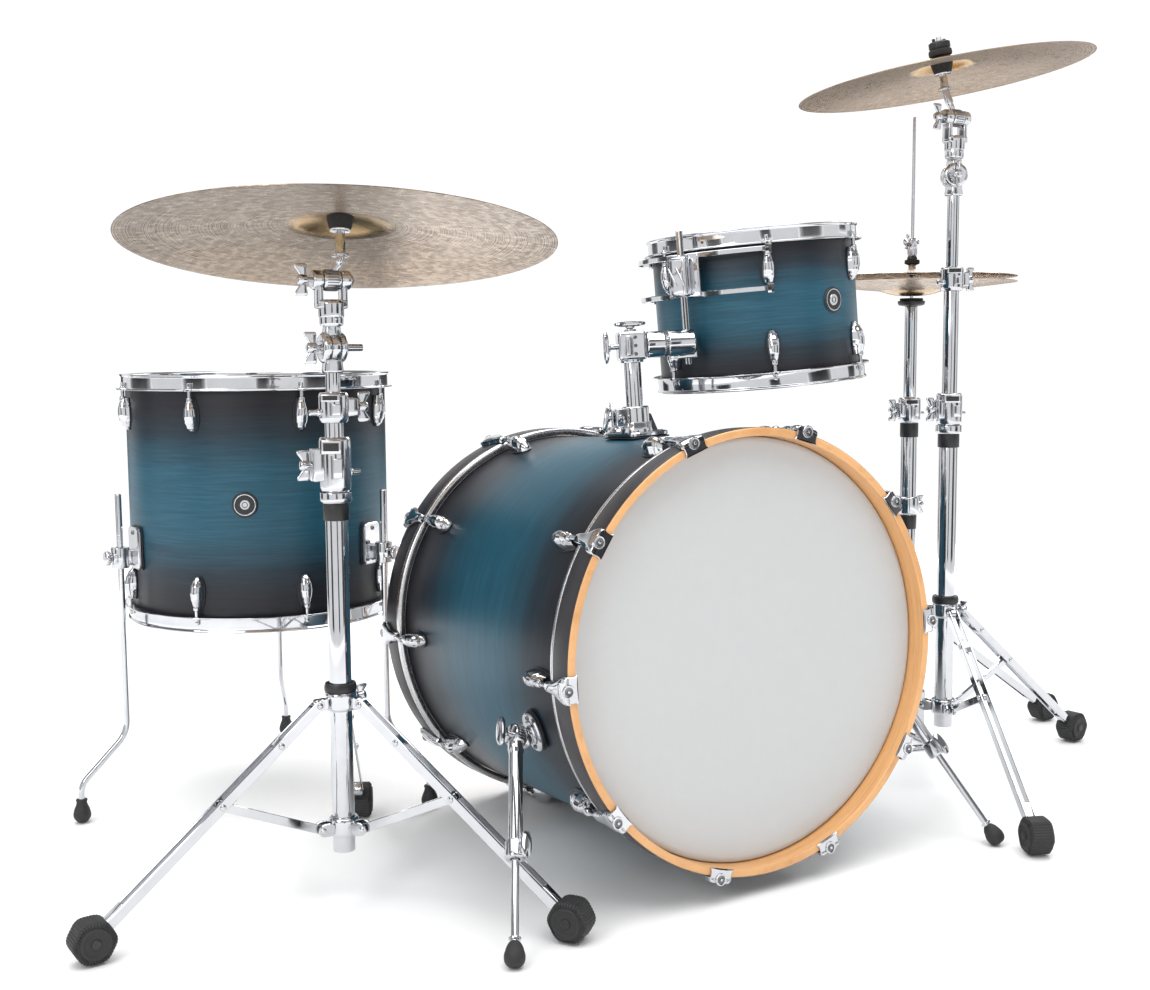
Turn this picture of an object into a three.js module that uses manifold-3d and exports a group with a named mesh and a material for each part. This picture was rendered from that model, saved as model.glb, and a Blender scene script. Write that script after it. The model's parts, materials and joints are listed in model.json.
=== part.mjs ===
// Acoustic drum kit: bass drum with a mounted tom, floor tom, ride, crash and hi-hat.
// Millimetres. +Z is up, the audience is towards -Y and the drummer sits at +Y.
import * as THREE from 'three';
import { mergeVertices } from 'three/addons/utils/BufferGeometryUtils.js';
import Module from 'manifold-3d';

const wasm = await Module();
wasm.setup();

// ---- driving dimensions ------------------------------------------------------------
const GAP = 0.4;                                    // clearance between touching pieces
const BASS = {
  r: 279.5, half: 254, wall: 8, hoopR: 293, hoopDepth: 38, lugs: 10, tilt: 2.64, roll: 2.5, lift: 1.2,
};
const TOM = { r: 152.5, half: 101.5, wall: 6, lugs: 6, at: [224.5, 31.6, 774], axis: [-0.0776, 0.0246, 0.9967] };
const FLOOR = { r: 203, half: 178, wall: 6, lugs: 8, at: [-416, 503, 489], legAz: [66, -54, -174], footR: 305 };
const SPUR = { az: 104.5, y: -150, out: 32, foot: [390, -320, 14] };
const POST = { base: [0, -10], r: 12.4, low: 196, head: 412 };
const ARM = { at: [58, -24, 718], rod: 6, top: 878 };
const RIDE = {
  name: 'ride', at: [-483.3, -22], legAz: [65, -55, -175], reach: 350, tubeR: 14.4, collarZ: 276, footingZ: 100,
  tubeTop: 536, neck: [536, 606, 640, 780], neckR: [12.4, 9.5], pivotZ: 802,
  cymbal: { r: 273.5, bell: 70, rise: 42, at: [-468.5, -19.8, 848], axis: [0.076, 0.136, 0.988] },
};
const CRASH = {
  name: 'crash', at: [559, -46], legAz: [6, -114, 126], reach: 385, tubeR: 15, collarZ: 294, footingZ: 122,
  tubeTop: 588, neck: [588, 640, 820, 1050], neckR: [12.4, 9.5], pivotZ: 1076,
  cymbal: { r: 229.5, bell: 56, rise: 34, at: [544.1, -34.2, 1136.6], axis: [-0.129, 0.070, 0.989] },
};
const HAT = { at: [652, 142], legAz: [-4, 114], reach: 360, z: 831, r: 178, tubeR: 14, pedalAz: 80, top: 1112 };

// ---- finishes ----------------------------------------------------------------------
const FINISH = {
  lacquer: [0x1d4a5c, 0.45, 0.0],
  hoopWood: [0xc98a4d, 0.5, 0.0],
  chrome: [0xd9dcde, 0.12, 1.0],
  film: [0xdadcdc, 0.4, 0.0],
  bronze: [0xb59a6a, 0.35, 1.0],
};

// ---- geometry helpers --------------------------------------------------------------
const V = (x, y, z) => new THREE.Vector3(x, y, z);
const rad = THREE.MathUtils.degToRad;
/** Point at a radius and azimuth about Z. */
const polar = (r, degrees, z = 0) => V(r * Math.cos(rad(degrees)), r * Math.sin(rad(degrees)), z);

/** Indexed copy with shared corners, no needle triangles and outward faces. */
function tidy(geometry) {
  let g = geometry.clone();
  g.deleteAttribute('normal');
  g.deleteAttribute('uv');
  g = mergeVertices(g, 1e-3);
  const p = g.attributes.position;
  const corner = (i) => V().fromBufferAttribute(p, i);
  const kept = [];
  let volume = 0;
  for (let i = 0; i < g.index.count; i += 3) {
    const [a, b, c] = [0, 1, 2].map((k) => g.index.getX(i + k));
    if (a === b || b === c || c === a) continue;
    kept.push(a, b, c);
    volume += corner(a).dot(corner(b).cross(corner(c)));
  }
  if (volume < 0) kept.reverse();
  g.setIndex(kept);
  return g;
}

function toSolid(geometry) {
  const g = tidy(geometry);
  return new wasm.Manifold(new wasm.Mesh({
    numProp: 3,
    vertProperties: new Float32Array(g.attributes.position.array),
    triVerts: new Uint32Array(g.index.array),
  }));
}

function toGeometry(manifold) {
  const mesh = manifold.getMesh();
  const g = new THREE.BufferGeometry();
  g.setAttribute('position', new THREE.BufferAttribute(new Float32Array(mesh.vertProperties), 3));
  g.setIndex(new THREE.BufferAttribute(new Uint32Array(mesh.triVerts), 1));
  return g;
}

const fuse = (...pieces) => toGeometry(pieces.flat(Infinity).map(toSolid).reduce((a, b) => a.add(b)));
const cut = (body, ...tools) => toGeometry(
  tools.flat(Infinity).map(toSolid).reduce((a, b) => a.subtract(b), toSolid(body)),
);

/** Turned piece about Z from [radius, height] corners. A profile off the axis closes on itself. */
function spun(profile, segments = 24) {
  const loop = profile.map(([r, z]) => new THREE.Vector2(r, z));
  if (profile[0][0] > 0) loop.push(loop[0].clone());
  return new THREE.LatheGeometry(loop, segments).rotateX(Math.PI / 2);
}

/** Moves a piece drawn about Z so that its Z runs along `axis` from `at`. */
function aim(geometry, at, axis, side = V(1, 0, 0)) {
  const z = axis.clone().normalize();
  const y = z.clone().cross(side).normalize();
  if (y.lengthSq() < 0.5) y.copy(z).cross(V(0, 1, 0)).normalize();
  const x = y.clone().cross(z);
  return geometry.clone().applyMatrix4(new THREE.Matrix4().makeBasis(x, y, z).setPosition(at));
}

/** Solid or hollow round bar between two points. */
function bar(from, to, r, segments = 10, bore = 0) {
  const run = to.clone().sub(from);
  const length = run.length();
  const profile = bore
    ? [[r, 0], [r, length], [bore, length], [bore, 0]]
    : [[0, 0], [r, 0], [r, length], [0, length]];
  return aim(spun(profile, segments), from, run);
}

/** Block with its base on z = low, centred on x, y. */
function block(w, d, low, high, x = 0, y = 0) {
  return new THREE.BoxGeometry(w, d, high - low).translate(x, y, (low + high) / 2);
}

/** Same piece repeated about Z. */
function around(piece, count, phase = 0) {
  return Array.from({ length: count }, (_, k) => piece.clone().rotateZ(rad(phase) + (k * 2 * Math.PI) / count));
}

// ---- assembly ----------------------------------------------------------------------
const group = new THREE.Group();
group.name = 'acoustic_drum_kit';

function add(name, geometry, finish) {
  const [color, roughness, metalness] = FINISH[finish];
  const g = tidy(geometry);
  g.computeVertexNormals();
  const mesh = new THREE.Mesh(g, new THREE.MeshStandardMaterial({ color, roughness, metalness, flatShading: true }));
  mesh.name = name;
  group.add(mesh);
}

// ---- drum pieces, drawn about Z with the head outward at +Z -------------------------
function shellOf({ r, half, wall }, segments) {
  return spun([[r, -half], [r, half], [r - wall, half], [r - wall, -half]], segments);
}

function headOf({ r, half }, lip, drop, segments) {
  const top = half + 1.4;
  return spun([
    [0, top], [r + lip, top], [r + lip, half - drop], [r + GAP, half - drop], [r + GAP, half + GAP], [0, half + GAP],
  ], segments);
}

/** Steel hoop with its tension rods and lugs for a tom. */
function tomRim({ r, half, lugs }, phase, segments) {
  const [low, top, inner] = [half - 10, half + 14.5, r + 3];
  const hoop = spun([
    [inner, low], [inner + 10, low], [inner + 10, low + 2.4], [inner + 2.4, low + 2.4], [inner + 2.4, top], [inner, top],
  ], segments);
  const rod = bar(V(r + 8.5, 0, half - 40), V(r + 8.5, 0, half - 8), 3, 5);
  const lug = block(16.5, 15, half - 67, half - 22, r + 8.25 + GAP);
  return fuse(hoop, around(rod, lugs, phase), around(lug, lugs, phase));
}

/** Metal flesh ring with the claws, tension rods and lugs of one side of the bass drum. */
function bassTension({ r, half, lugs, hoopR, hoopDepth }, phase) {
  const front = half - 11 + hoopDepth;
  const ring = spun([[r + 2.4, half - 18], [r + 8, half - 18], [r + 8, half - 11.6], [r + 2.4, half - 11.6]], 40);
  const parts = [
    block(9, 20, half - 17, front + 3.4, hoopR + 4.5 + GAP),
    block(18, 20, front + GAP, front + 3.4, hoopR - 3),
    block(20, 8, half - 17, half - 12, r + 14),
    bar(V(r + 19, 0, half - 60), V(r + 19, 0, half - 16), 3, 5),
    block(24, 19, half - 92, half - 38, r + 12 + GAP),
  ];
  return fuse(ring, parts.map((p) => around(p, lugs, phase)));
}

// ---- bass drum ---------------------------------------------------------------------
const frontZ = BASS.half - 11 + BASS.hoopDepth;
const bassZ = frontZ * Math.sin(rad(BASS.tilt)) + BASS.hoopR * Math.cos(rad(BASS.tilt)) + BASS.lift;
const bassFrame = new THREE.Matrix4().makeTranslation(0, 0, bassZ)
  .multiply(new THREE.Matrix4().makeRotationX(-rad(BASS.tilt)))
  .multiply(new THREE.Matrix4().makeRotationY(-rad(BASS.roll)));
const onBass = (x, y, z) => V(x, y, z).applyMatrix4(bassFrame);
const bassWay = (v) => v.clone().transformDirection(bassFrame);

/** Places a drum piece on the front (side 1) or the drummer's side (side -1) of the bass drum. */
function bassSide(geometry, side) {
  return aim(geometry, V(0, 0, 0), V(0, -side, 0), V(side, 0, 0)).applyMatrix4(bassFrame);
}

const woodHoop = spun([
  [BASS.r + 2.6, BASS.half - 11], [BASS.hoopR, BASS.half - 11], [BASS.hoopR, frontZ], [BASS.r + 2.6, frontZ],
], 40);
const postHole = bar(onBass(...POST.base, 180), onBass(...POST.base, 320), POST.r + 2, 12);
add('bass_shell', cut(bassSide(shellOf(BASS, 40), 1), postHole), 'lacquer');
for (const [label, side] of [['front', 1], ['batter', -1]]) {
  add(`bass_${label}_head`, bassSide(headOf(BASS, 1.9, 16, 40), side), 'film');
  add(`bass_${label}_hoop`, bassSide(woodHoop, side), 'hoopWood');
  add(`bass_${label}_tension`, bassSide(bassTension(BASS, 0), side), 'chrome');
}

// ---- bass drum spurs ---------------------------------------------------------------
for (const [label, side] of [['left', -1], ['right', 1]]) {
  const normal = bassWay(V(side * Math.sin(rad(SPUR.az)), 0, Math.cos(rad(SPUR.az))));
  const wall = onBass(side * BASS.r * Math.sin(rad(SPUR.az)), SPUR.y, BASS.r * Math.cos(rad(SPUR.az)));
  const swivel = wall.clone().addScaledVector(normal, SPUR.out);
  const foot = V(side * SPUR.foot[0], SPUR.foot[1], SPUR.foot[2]);
  const way = foot.clone().sub(swivel).normalize();
  const reach = foot.distanceTo(swivel);
  const hinge = way.clone().cross(V(0, -side, 0)).normalize();
  const point = (t) => swivel.clone().addScaledVector(way, t);
  const face = (t) => swivel.clone().addScaledVector(hinge, side * -t);
  const inward = hinge.dot(normal) > 0 ? 1 : -1;
  const bossFrom = swivel.clone().addScaledVector(hinge, -9.6 * inward);
  const bossTo = wall.clone().addScaledVector(normal, 5).addScaledVector(V(0, 0, -1), 6);
  const plateAt = wall.clone().addScaledVector(normal, 5.2).addScaledVector(V(0, 0, -1), 6);
  const plate = aim(new THREE.BoxGeometry(56, 40, 8), plateAt, normal, V(0, 0, 1));
  const boss = bar(bossFrom, bossFrom.clone().addScaledVector(hinge, -9 * inward), 14, 10);
  const web = bar(bossFrom.clone().addScaledVector(hinge, -9 * inward), bossTo, 10, 8);
  add(`spur_bracket_${label}`, fuse(plate, boss, web), 'chrome');

  const knuckle = bar(face(-9), face(9), 15, 12);
  const sleeve = bar(point(6), point(165), 9, 12);
  const clamp = bar(point(143), point(165), 13, 12);
  const bore = bar(point(60), point(170), 6, 12);
  add(`spur_tube_${label}`, cut(fuse(knuckle, sleeve, clamp), bore), 'chrome');

  const pear = aim(spun([[0, -18], [7, -16], [13.4, -2], [11, 8], [5, 13.4], [0, 13.6]], 12), foot, way);
  add(`spur_rod_${label}`, fuse(bar(point(100), point(reach - 6), 5, 12), pear), 'chrome');
}

// ---- tom holder --------------------------------------------------------------------
const [postX, postY] = POST.base;
const postAt = (z) => onBass(postX, postY, z);
const postWay = bassWay(V(0, 0, 1));
const plateBottom = BASS.r + 1;
const holder = fuse(
  new THREE.BoxGeometry(64, 84, 9).translate(postX, postY, plateBottom + 4.5),
  bar(V(postX, postY, plateBottom + 2), V(postX, postY, plateBottom + 44), 20, 12),
  new THREE.BoxGeometry(34, 15, 26).translate(postX - 22, postY, plateBottom + 29),
);
add('tom_mount_base', cut(holder, bar(V(postX, postY, 260), V(postX, postY, 340), POST.r + 0.7, 12))
  .applyMatrix4(bassFrame), 'chrome');
add('tom_post', bar(postAt(POST.low), postAt(POST.head - 22), POST.r, 12), 'chrome');

const armAt = V(...ARM.at);
const headAt = postAt(POST.head);
const armWay = armAt.clone().sub(headAt).projectOnPlane(postWay).normalize();
const tiltAt = headAt.clone().addScaledVector(armWay, armAt.distanceTo(headAt));
const headBody = aim(block(42, 36, -21.5, 21.5), headAt, postWay, armWay);
const headWing = bar(headAt.clone().addScaledVector(armWay, -34), headAt.clone().addScaledVector(armWay, -18), 9, 8);
const headNut = bar(headAt.clone().addScaledVector(postWay, 20), headAt.clone().addScaledVector(postWay, 34), 10, 8);
add('tom_post_head', fuse(headBody, headWing, headNut), 'chrome');

const tomUp = V(...TOM.axis).normalize();
const barrel = bar(headAt.clone().addScaledVector(armWay, 21.5), tiltAt.clone().addScaledVector(armWay, 11), 19, 12);
const rodLow = tiltAt.clone().addScaledVector(tomUp, -32);
const rodTop = tiltAt.clone().addScaledVector(tomUp, ARM.top - ARM.at[2]);
add('tom_arm', fuse(barrel, bar(rodLow, rodTop, ARM.rod, 6)), 'chrome');

// ---- mounted tom -------------------------------------------------------------------
const tomAt = V(...TOM.at);
const placeTom = (geometry) => aim(geometry, tomAt, tomUp);
const tomBelow = (geometry) => aim(aim(geometry, V(0, 0, 0), V(0, 0, -1)), tomAt, tomUp);
add('tom_shell', placeTom(shellOf(TOM, 32)), 'lacquer');
add('tom_top_head', placeTom(headOf(TOM, 2.6, 8, 32)), 'film');
add('tom_top_rim', placeTom(tomRim(TOM, 0, 32)), 'chrome');
add('tom_bottom_head', tomBelow(headOf(TOM, 2.6, 8, 32)), 'film');
add('tom_bottom_rim', tomBelow(tomRim(TOM, 0, 32)), 'chrome');

const tomInverse = new THREE.Matrix4().copy(aimMatrix(tomAt, tomUp)).invert();
const rodLocal = rodTop.clone().applyMatrix4(tomInverse);
const rodAz = THREE.MathUtils.radToDeg(Math.atan2(rodLocal.y, rodLocal.x));
const rodR = Math.hypot(rodLocal.x, rodLocal.y);
const strapBands = [[24, 32], [80, 88]].map(([low, high]) => arcBand(TOM.r + 19, TOM.r + 22, low, high, 118, 242, 16));
const strapPlate = block(5, 58, 24, 88, TOM.r + 21.5).rotateZ(rad(rodAz));
const castBody = block(rodR - TOM.r - 20 + 13, 30, 26, 84, (rodR + TOM.r + 20 + 13) / 2).rotateZ(rad(rodAz));
const rodBore = bar(V(rodLocal.x, rodLocal.y, 0), V(rodLocal.x, rodLocal.y, 120), ARM.rod + 0.8, 8);
add('tom_bracket', placeTom(cut(fuse(strapBands, strapPlate, castBody), rodBore)), 'chrome');

function aimMatrix(at, axis) {
  const z = axis.clone().normalize();
  const y = z.clone().cross(V(1, 0, 0)).normalize();
  return new THREE.Matrix4().makeBasis(y.clone().cross(z), y, z).setPosition(at);
}

/** Flat strip bent round Z between two azimuths. */
function arcBand(inner, outer, low, high, from, to, steps) {
  const shape = new THREE.Shape();
  for (let k = 0; k <= steps; k++) {
    const p = polar(outer, from + ((to - from) * k) / steps);
    if (k) shape.lineTo(p.x, p.y); else shape.moveTo(p.x, p.y);
  }
  for (let k = steps; k >= 0; k--) {
    const p = polar(inner, from + ((to - from) * k) / steps);
    shape.lineTo(p.x, p.y);
  }
  return new THREE.ExtrudeGeometry(shape, { depth: high - low, bevelEnabled: false }).translate(0, 0, low);
}

// ---- floor tom ---------------------------------------------------------------------
const floorAt = V(...FLOOR.at);
const placeFloor = (geometry) => aim(geometry, floorAt, V(0, 0, 1));
const floorBelow = (geometry) => aim(geometry, floorAt, V(0, 0, -1));
const legR = FLOOR.r + 28;
const legZ = 402 - FLOOR.at[2];
const legPlate = block(12, 44, legZ - 20, legZ + 46, FLOOR.r + 2.5);
const legBlock = block(22, 30, legZ - 16, legZ + 16, FLOOR.r + 30);
const legNeck = block(16, 20, legZ - 12, legZ + 12, FLOOR.r + 14);
const legHole = bar(V(legR, 0, legZ - 40), V(legR, 0, legZ + 40), 5.9, 10);
const legKnob = bar(V(FLOOR.r + 40, 0, legZ), V(FLOOR.r + 52, 0, legZ), 11, 10);
const brackets = FLOOR.legAz.map((az) => [legPlate, legBlock, legNeck, legKnob].map((g) => g.clone().rotateZ(rad(az))));
const holes = FLOOR.legAz.map((az) => legHole.clone().rotateZ(rad(az)));
add('floor_tom_shell', placeFloor(cut(fuse(shellOf(FLOOR, 36), brackets), holes)), 'lacquer');
add('floor_tom_top_head', placeFloor(headOf(FLOOR, 2.6, 8, 36)), 'film');
add('floor_tom_top_rim', placeFloor(tomRim(FLOOR, 0, 36)), 'chrome');
add('floor_tom_bottom_head', floorBelow(headOf(FLOOR, 2.6, 8, 36)), 'film');
add('floor_tom_bottom_rim', floorBelow(tomRim(FLOOR, 0, 36)), 'chrome');

FLOOR.legAz.forEach((az, k) => {
  const path = [[legR, 498], [legR, 128], [FLOOR.footR, 58], [FLOOR.footR, 20]]
    .map(([r, z]) => polar(r, az, z).add(V(FLOOR.at[0], FLOOR.at[1], 0)));
  const pieces = path.slice(1).map((p, i) => bar(path[i], p, 5, 8));
  const joints = path.slice(1, -1).map((p) => new THREE.OctahedronGeometry(5.2, 1).translate(p.x, p.y, p.z));
  const tip = path[path.length - 1];
  const pear = spun([[0, 0.3], [9, 3], [13.5, 14], [11, 26], [6.5, 36], [0, 36.2]], 12).translate(tip.x, tip.y, 0);
  add(`floor_tom_leg_${k + 1}`, fuse(pieces, joints, pear), 'chrome');
});

// ---- cymbal stands -----------------------------------------------------------------
/** Thin bowed disc with a raised bell and a centre hole; z = 0 at the rim plane. */
function cymbalOf({ r, bell, rise }, segments) {
  const up = rise;
  const top = [[7, up], [bell * 0.66, up - 6], [bell, up * 0.55], [r, 0]];
  const under = top.map(([x, z], i) => [x, z - (i === top.length - 1 ? 1.1 : 1.6)]).reverse();
  return spun([...top, ...under], segments);
}

/** Points of one folding leg in its own plane: [radius, height]. */
function legPoints({ reach, collarZ, footingZ, tubeR }) {
  const pinR = tubeR + 18;
  const top = [pinR, collarZ - 12];
  const foot = [reach - 20, 24];
  const down = Math.hypot(foot[0] - top[0], foot[1] - top[1]);
  const way = [(foot[0] - top[0]) / down, (foot[1] - top[1]) / down];
  const elbow = [top[0] + way[0] * 170, top[1] + way[1] * 170];
  return { top, foot, elbow, base: [pinR, footingZ] };
}

function addStand(stand) {
  const { name, at, legAz, tubeR, collarZ, footingZ, tubeTop, neck, neckR, pivotZ, cymbal } = stand;
  const centre = V(at[0], at[1], 0);
  const put = (geometry, az = 0) => geometry.clone().rotateZ(rad(az)).translate(centre.x, centre.y, 0);
  const bore = tubeR - 1.6;
  const { top, foot, elbow, base } = legPoints(stand);
  const inPlane = ([r, z], y = 0) => V(r, y, z);

  // lower tube with its fixed footing; the brace ears stand either side of each brace
  const tube = bar(V(0, 0, footingZ - 34), V(0, 0, tubeTop), tubeR, 12);
  const footing = bar(V(0, 0, footingZ - 12), V(0, 0, footingZ + 12), tubeR + 5, 12);
  const throat = bar(V(0, 0, tubeTop - 30), V(0, 0, tubeTop), tubeR + 6, 12);
  const ear = (pin, y) => block(24, 4, pin[1] - 9, pin[1] + 9, pin[0] - 6, y);
  const ears = legAz.flatMap((az) => [7, -7].map((y) => ear(base, y).rotateZ(rad(az))));
  const way = bar(V(0, 0, 0), V(0, 0, tubeTop + 5), bore, 12);
  add(`${name}_base_tube`, put(cut(fuse(tube, footing, throat, ears), way)), 'chrome');

  // sliding collar that carries the three legs
  const ring = bar(V(0, 0, collarZ - 22), V(0, 0, collarZ + 14), tubeR + 6, 12);
  const lobes = legAz.map((az) => block(30, 9, top[1] - 8, top[1] + 8, top[0] - 8).rotateZ(rad(az)));
  const slideWay = bar(V(0, 0, collarZ - 60), V(0, 0, collarZ + 60), tubeR + 0.6, 12);
  add(`${name}_leg_collar`, put(cut(fuse(ring, lobes), slideWay)), 'chrome');

  // double strap legs, joined at the head by their bridge and at the floor by the foot
  legAz.forEach((az, k) => {
    const run = V(foot[0] - top[0], 0, foot[1] - top[1]);
    const length = run.length();
    const strap = (y) => aim(block(14, 3, -6, length), inPlane(top, y), run, V(0, 1, 0).cross(run));
    const bridge = aim(block(14, 15, 62, 76), inPlane(top), run, V(0, 1, 0).cross(run));
    const shoe = bar(inPlane(foot, -17), inPlane(foot, 17), 23.6, 14);
    add(`${name}_leg_${k + 1}`, put(fuse(strap(6.6), strap(-6.6), bridge, shoe), az), 'chrome');

    const span = V(elbow[0] - base[0], 0, elbow[1] - base[1]);
    const brace = aim(block(12, 6, -6, span.length() + 5), inPlane(base), span, V(0, 1, 0).cross(span));
    add(`${name}_brace_${k + 1}`, put(brace, az), 'chrome');
  });

  // upper tube with its clamps
  const [clampLow, clampHigh, step, neckTop] = neck;
  const inner = [
    bar(V(0, 0, clampLow - 150), V(0, 0, step), neckR[0] - 0.2, 12),
    bar(V(0, 0, clampLow + GAP), V(0, 0, clampHigh), tubeR + 6, 12),
    bar(V(0, 0, step - 16), V(0, 0, step + 22), neckR[0] + 7, 12),
    bar(V(0, 0, step), V(0, 0, neckTop), neckR[1], 12),
    block(26, 14, clampLow + 8, clampHigh - 8, -(tubeR + 14)),
    block(24, 12, step - 8, step + 10, tubeR + 12),
    bar(V(0, 0, neckTop - 26), V(0, 0, neckTop), neckR[1] + 7, 12),
    block(8, 26, neckTop - 14, pivotZ + 12, -16),
    block(8, 26, neckTop - 14, pivotZ + 12, 16),
    block(40, 26, neckTop - 14, neckTop - 2),
  ];
  add(`${name}_upper_tube`, put(fuse(inner)), 'chrome');

  // tilter: barrel between the cheeks and the stem that carries the cymbal
  const up = V(...cymbal.axis).normalize();
  const pivot = V(at[0], at[1], pivotZ);
  const seat = V(...cymbal.at);
  const bellTop = seat.clone().addScaledVector(up, cymbal.rise);
  const wheel = bar(pivot.clone().add(V(-11.4, 0, 0)), pivot.clone().add(V(11.4, 0, 0)), 13, 12);
  const stemFoot = seat.clone().addScaledVector(up, -16);
  const stem = [
    bar(pivot, stemFoot, 5, 10),
    bar(stemFoot, stemFoot.clone().addScaledVector(up, 6), 11, 12),
    bar(stemFoot, bellTop.clone().addScaledVector(up, 34), 4, 8),
    bar(stemFoot.clone().addScaledVector(up, 4), bellTop.clone().addScaledVector(up, -9), 6.5, 12),
    bar(bellTop.clone().addScaledVector(up, -24), bellTop.clone().addScaledVector(up, -6.5), 17, 12),
    bar(bellTop.clone().addScaledVector(up, 3.5), bellTop.clone().addScaledVector(up, 13), 18, 12),
    bar(bellTop.clone().addScaledVector(up, 12), bellTop.clone().addScaledVector(up, 25), 16, 8),
  ];
  add(`${name}_tilter`, fuse(wheel, stem), 'chrome');
  add(`${name}_cymbal`, aim(cymbalOf(cymbal, 34), seat, up), 'bronze');
}
addStand(RIDE);
addStand(CRASH);

// ---- hi-hat ------------------------------------------------------------------------
const hat = (geometry, az = 0) => geometry.clone().rotateZ(rad(az)).translate(HAT.at[0], HAT.at[1], 0);
const hatPins = { top: [HAT.tubeR + 20, 236], foot: [HAT.reach - 20, 24] };
const seatZ = HAT.z - 31;
const hatBore = 7;
const columnParts = [
  bar(V(0, 0, 60), V(0, 0, 600), HAT.tubeR, 14),
  bar(V(0, 0, 598), V(0, 0, seatZ - 12), 11, 14),
  bar(V(0, 0, 582), V(0, 0, 626), HAT.tubeR + 6, 12),
  bar(V(0, 0, 418), V(0, 0, 450), HAT.tubeR + 5, 12),
  bar(V(0, 0, 218), V(0, 0, 256), HAT.tubeR + 7, 12),
  bar(V(0, 0, seatZ - 14), V(0, 0, seatZ), 24, 14),
  ...HAT.legAz.map((az) => block(32, 9, 228, 244, hatPins.top[0] - 8).rotateZ(rad(az))),
  ...[34, -34].map((x) => block(8, 16, 4, 96, 0, x).rotateZ(rad(HAT.pedalAz))),
  block(24, 76, 78, 96).rotateZ(rad(HAT.pedalAz)),
  ...[34, -34].map((x) => block(290, 8, 1, 7, 90, x).rotateZ(rad(HAT.pedalAz))),
  block(16, 76, 1, 7, 228).rotateZ(rad(HAT.pedalAz)),
  block(16, 76, 1, 7, -48).rotateZ(rad(HAT.pedalAz)),
];
add('hihat_column', hat(cut(fuse(columnParts), bar(V(0, 0, 40), V(0, 0, 900), hatBore, 12))), 'chrome');

HAT.legAz.forEach((az, k) => {
  const { top, foot } = hatPins;
  const run = V(foot[0] - top[0], 0, foot[1] - top[1]);
  const at = (y) => V(top[0], y, top[1]);
  const side = V(0, 1, 0).cross(run);
  const straps = [6.6, -6.6].map((y) => aim(block(14, 3, -6, run.length()), at(y), run, side));
  const shoe = bar(V(foot[0], -17, foot[1]), V(foot[0], 17, foot[1]), 23.6, 14);
  add(`hihat_leg_${k + 1}`, hat(fuse(straps, aim(block(14, 15, 62, 76), at(0), run, side), shoe), az), 'chrome');
});

const treadle = fuse(
  block(196, 52, 0, 5, 98).rotateY(rad(-10)),
  bar(V(0, -26, 0), V(0, 26, 0), 7, 10),
).translate(-214, 0, 22);
add('hihat_footboard', hat(treadle.rotateZ(Math.PI), HAT.pedalAz), 'chrome');

const rimZ = HAT.z + 5;
const hatCymbal = { r: HAT.r, bell: 60, rise: 22 };
const clutchZ = rimZ + hatCymbal.rise;
add('hihat_pull_rod', hat(fuse(
  bar(V(0, 0, 70), V(0, 0, HAT.top), 3, 8),
  bar(V(0, 0, 64), V(0, 0, 74), 5.5, 8),
  bar(V(0, 0, clutchZ + 1), V(0, 0, clutchZ + 9), 13, 12),
  bar(V(0, 0, clutchZ + 7), V(0, 0, clutchZ + 48), 8, 10),
  block(44, 7, clutchZ + 36, clutchZ + 48),
  bar(V(0, 0, clutchZ - 20), V(0, 0, clutchZ - 12), 9, 10),
)), 'chrome');
add('hihat_top_cymbal', hat(cymbalOf(hatCymbal, 28).translate(0, 0, rimZ)), 'bronze');
const lowerCymbal = aim(cymbalOf(hatCymbal, 28), V(0, 0, HAT.z - 5), V(0, 0, -1));
add('hihat_bottom_cymbal', hat(lowerCymbal), 'bronze');

// ---- origin at the bottom centre of the whole kit ------------------------------------
const bounds = new THREE.Box3().setFromObject(group);
const middle = bounds.getCenter(V());
for (const mesh of group.children) mesh.geometry.translate(-middle.x, -middle.y, -bounds.min.z);

export default group;
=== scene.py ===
"""Looks of an acoustic drum kit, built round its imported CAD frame.

The frame is in metres, +Z up, audience towards -Y. Shapes below are in millimetres and are scaled once, when
a piece is finished.
"""
import json
import math

import bmesh
import bpy
from mathutils import Matrix, Vector


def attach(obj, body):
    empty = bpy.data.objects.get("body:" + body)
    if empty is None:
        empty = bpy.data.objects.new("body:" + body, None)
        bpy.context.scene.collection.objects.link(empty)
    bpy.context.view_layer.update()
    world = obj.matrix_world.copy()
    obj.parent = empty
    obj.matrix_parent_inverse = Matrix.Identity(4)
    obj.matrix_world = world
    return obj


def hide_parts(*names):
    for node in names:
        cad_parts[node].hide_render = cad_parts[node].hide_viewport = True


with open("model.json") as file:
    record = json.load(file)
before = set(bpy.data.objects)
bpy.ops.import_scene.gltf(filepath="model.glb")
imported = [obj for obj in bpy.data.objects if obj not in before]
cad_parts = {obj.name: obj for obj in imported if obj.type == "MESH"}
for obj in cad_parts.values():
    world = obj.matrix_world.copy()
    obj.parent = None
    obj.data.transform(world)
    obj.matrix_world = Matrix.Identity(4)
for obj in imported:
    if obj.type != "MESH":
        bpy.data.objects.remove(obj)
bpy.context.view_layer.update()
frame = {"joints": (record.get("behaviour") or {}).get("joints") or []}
scene = bpy.context.scene
joint = {j["name"]: j for j in frame["joints"]}
MM = 0.001
X, Y, Z, LEFT, FRONT = (1, 0, 0), (0, 1, 0), (0, 0, 1), (-1, 0, 0), (0, -1, 0)

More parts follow.
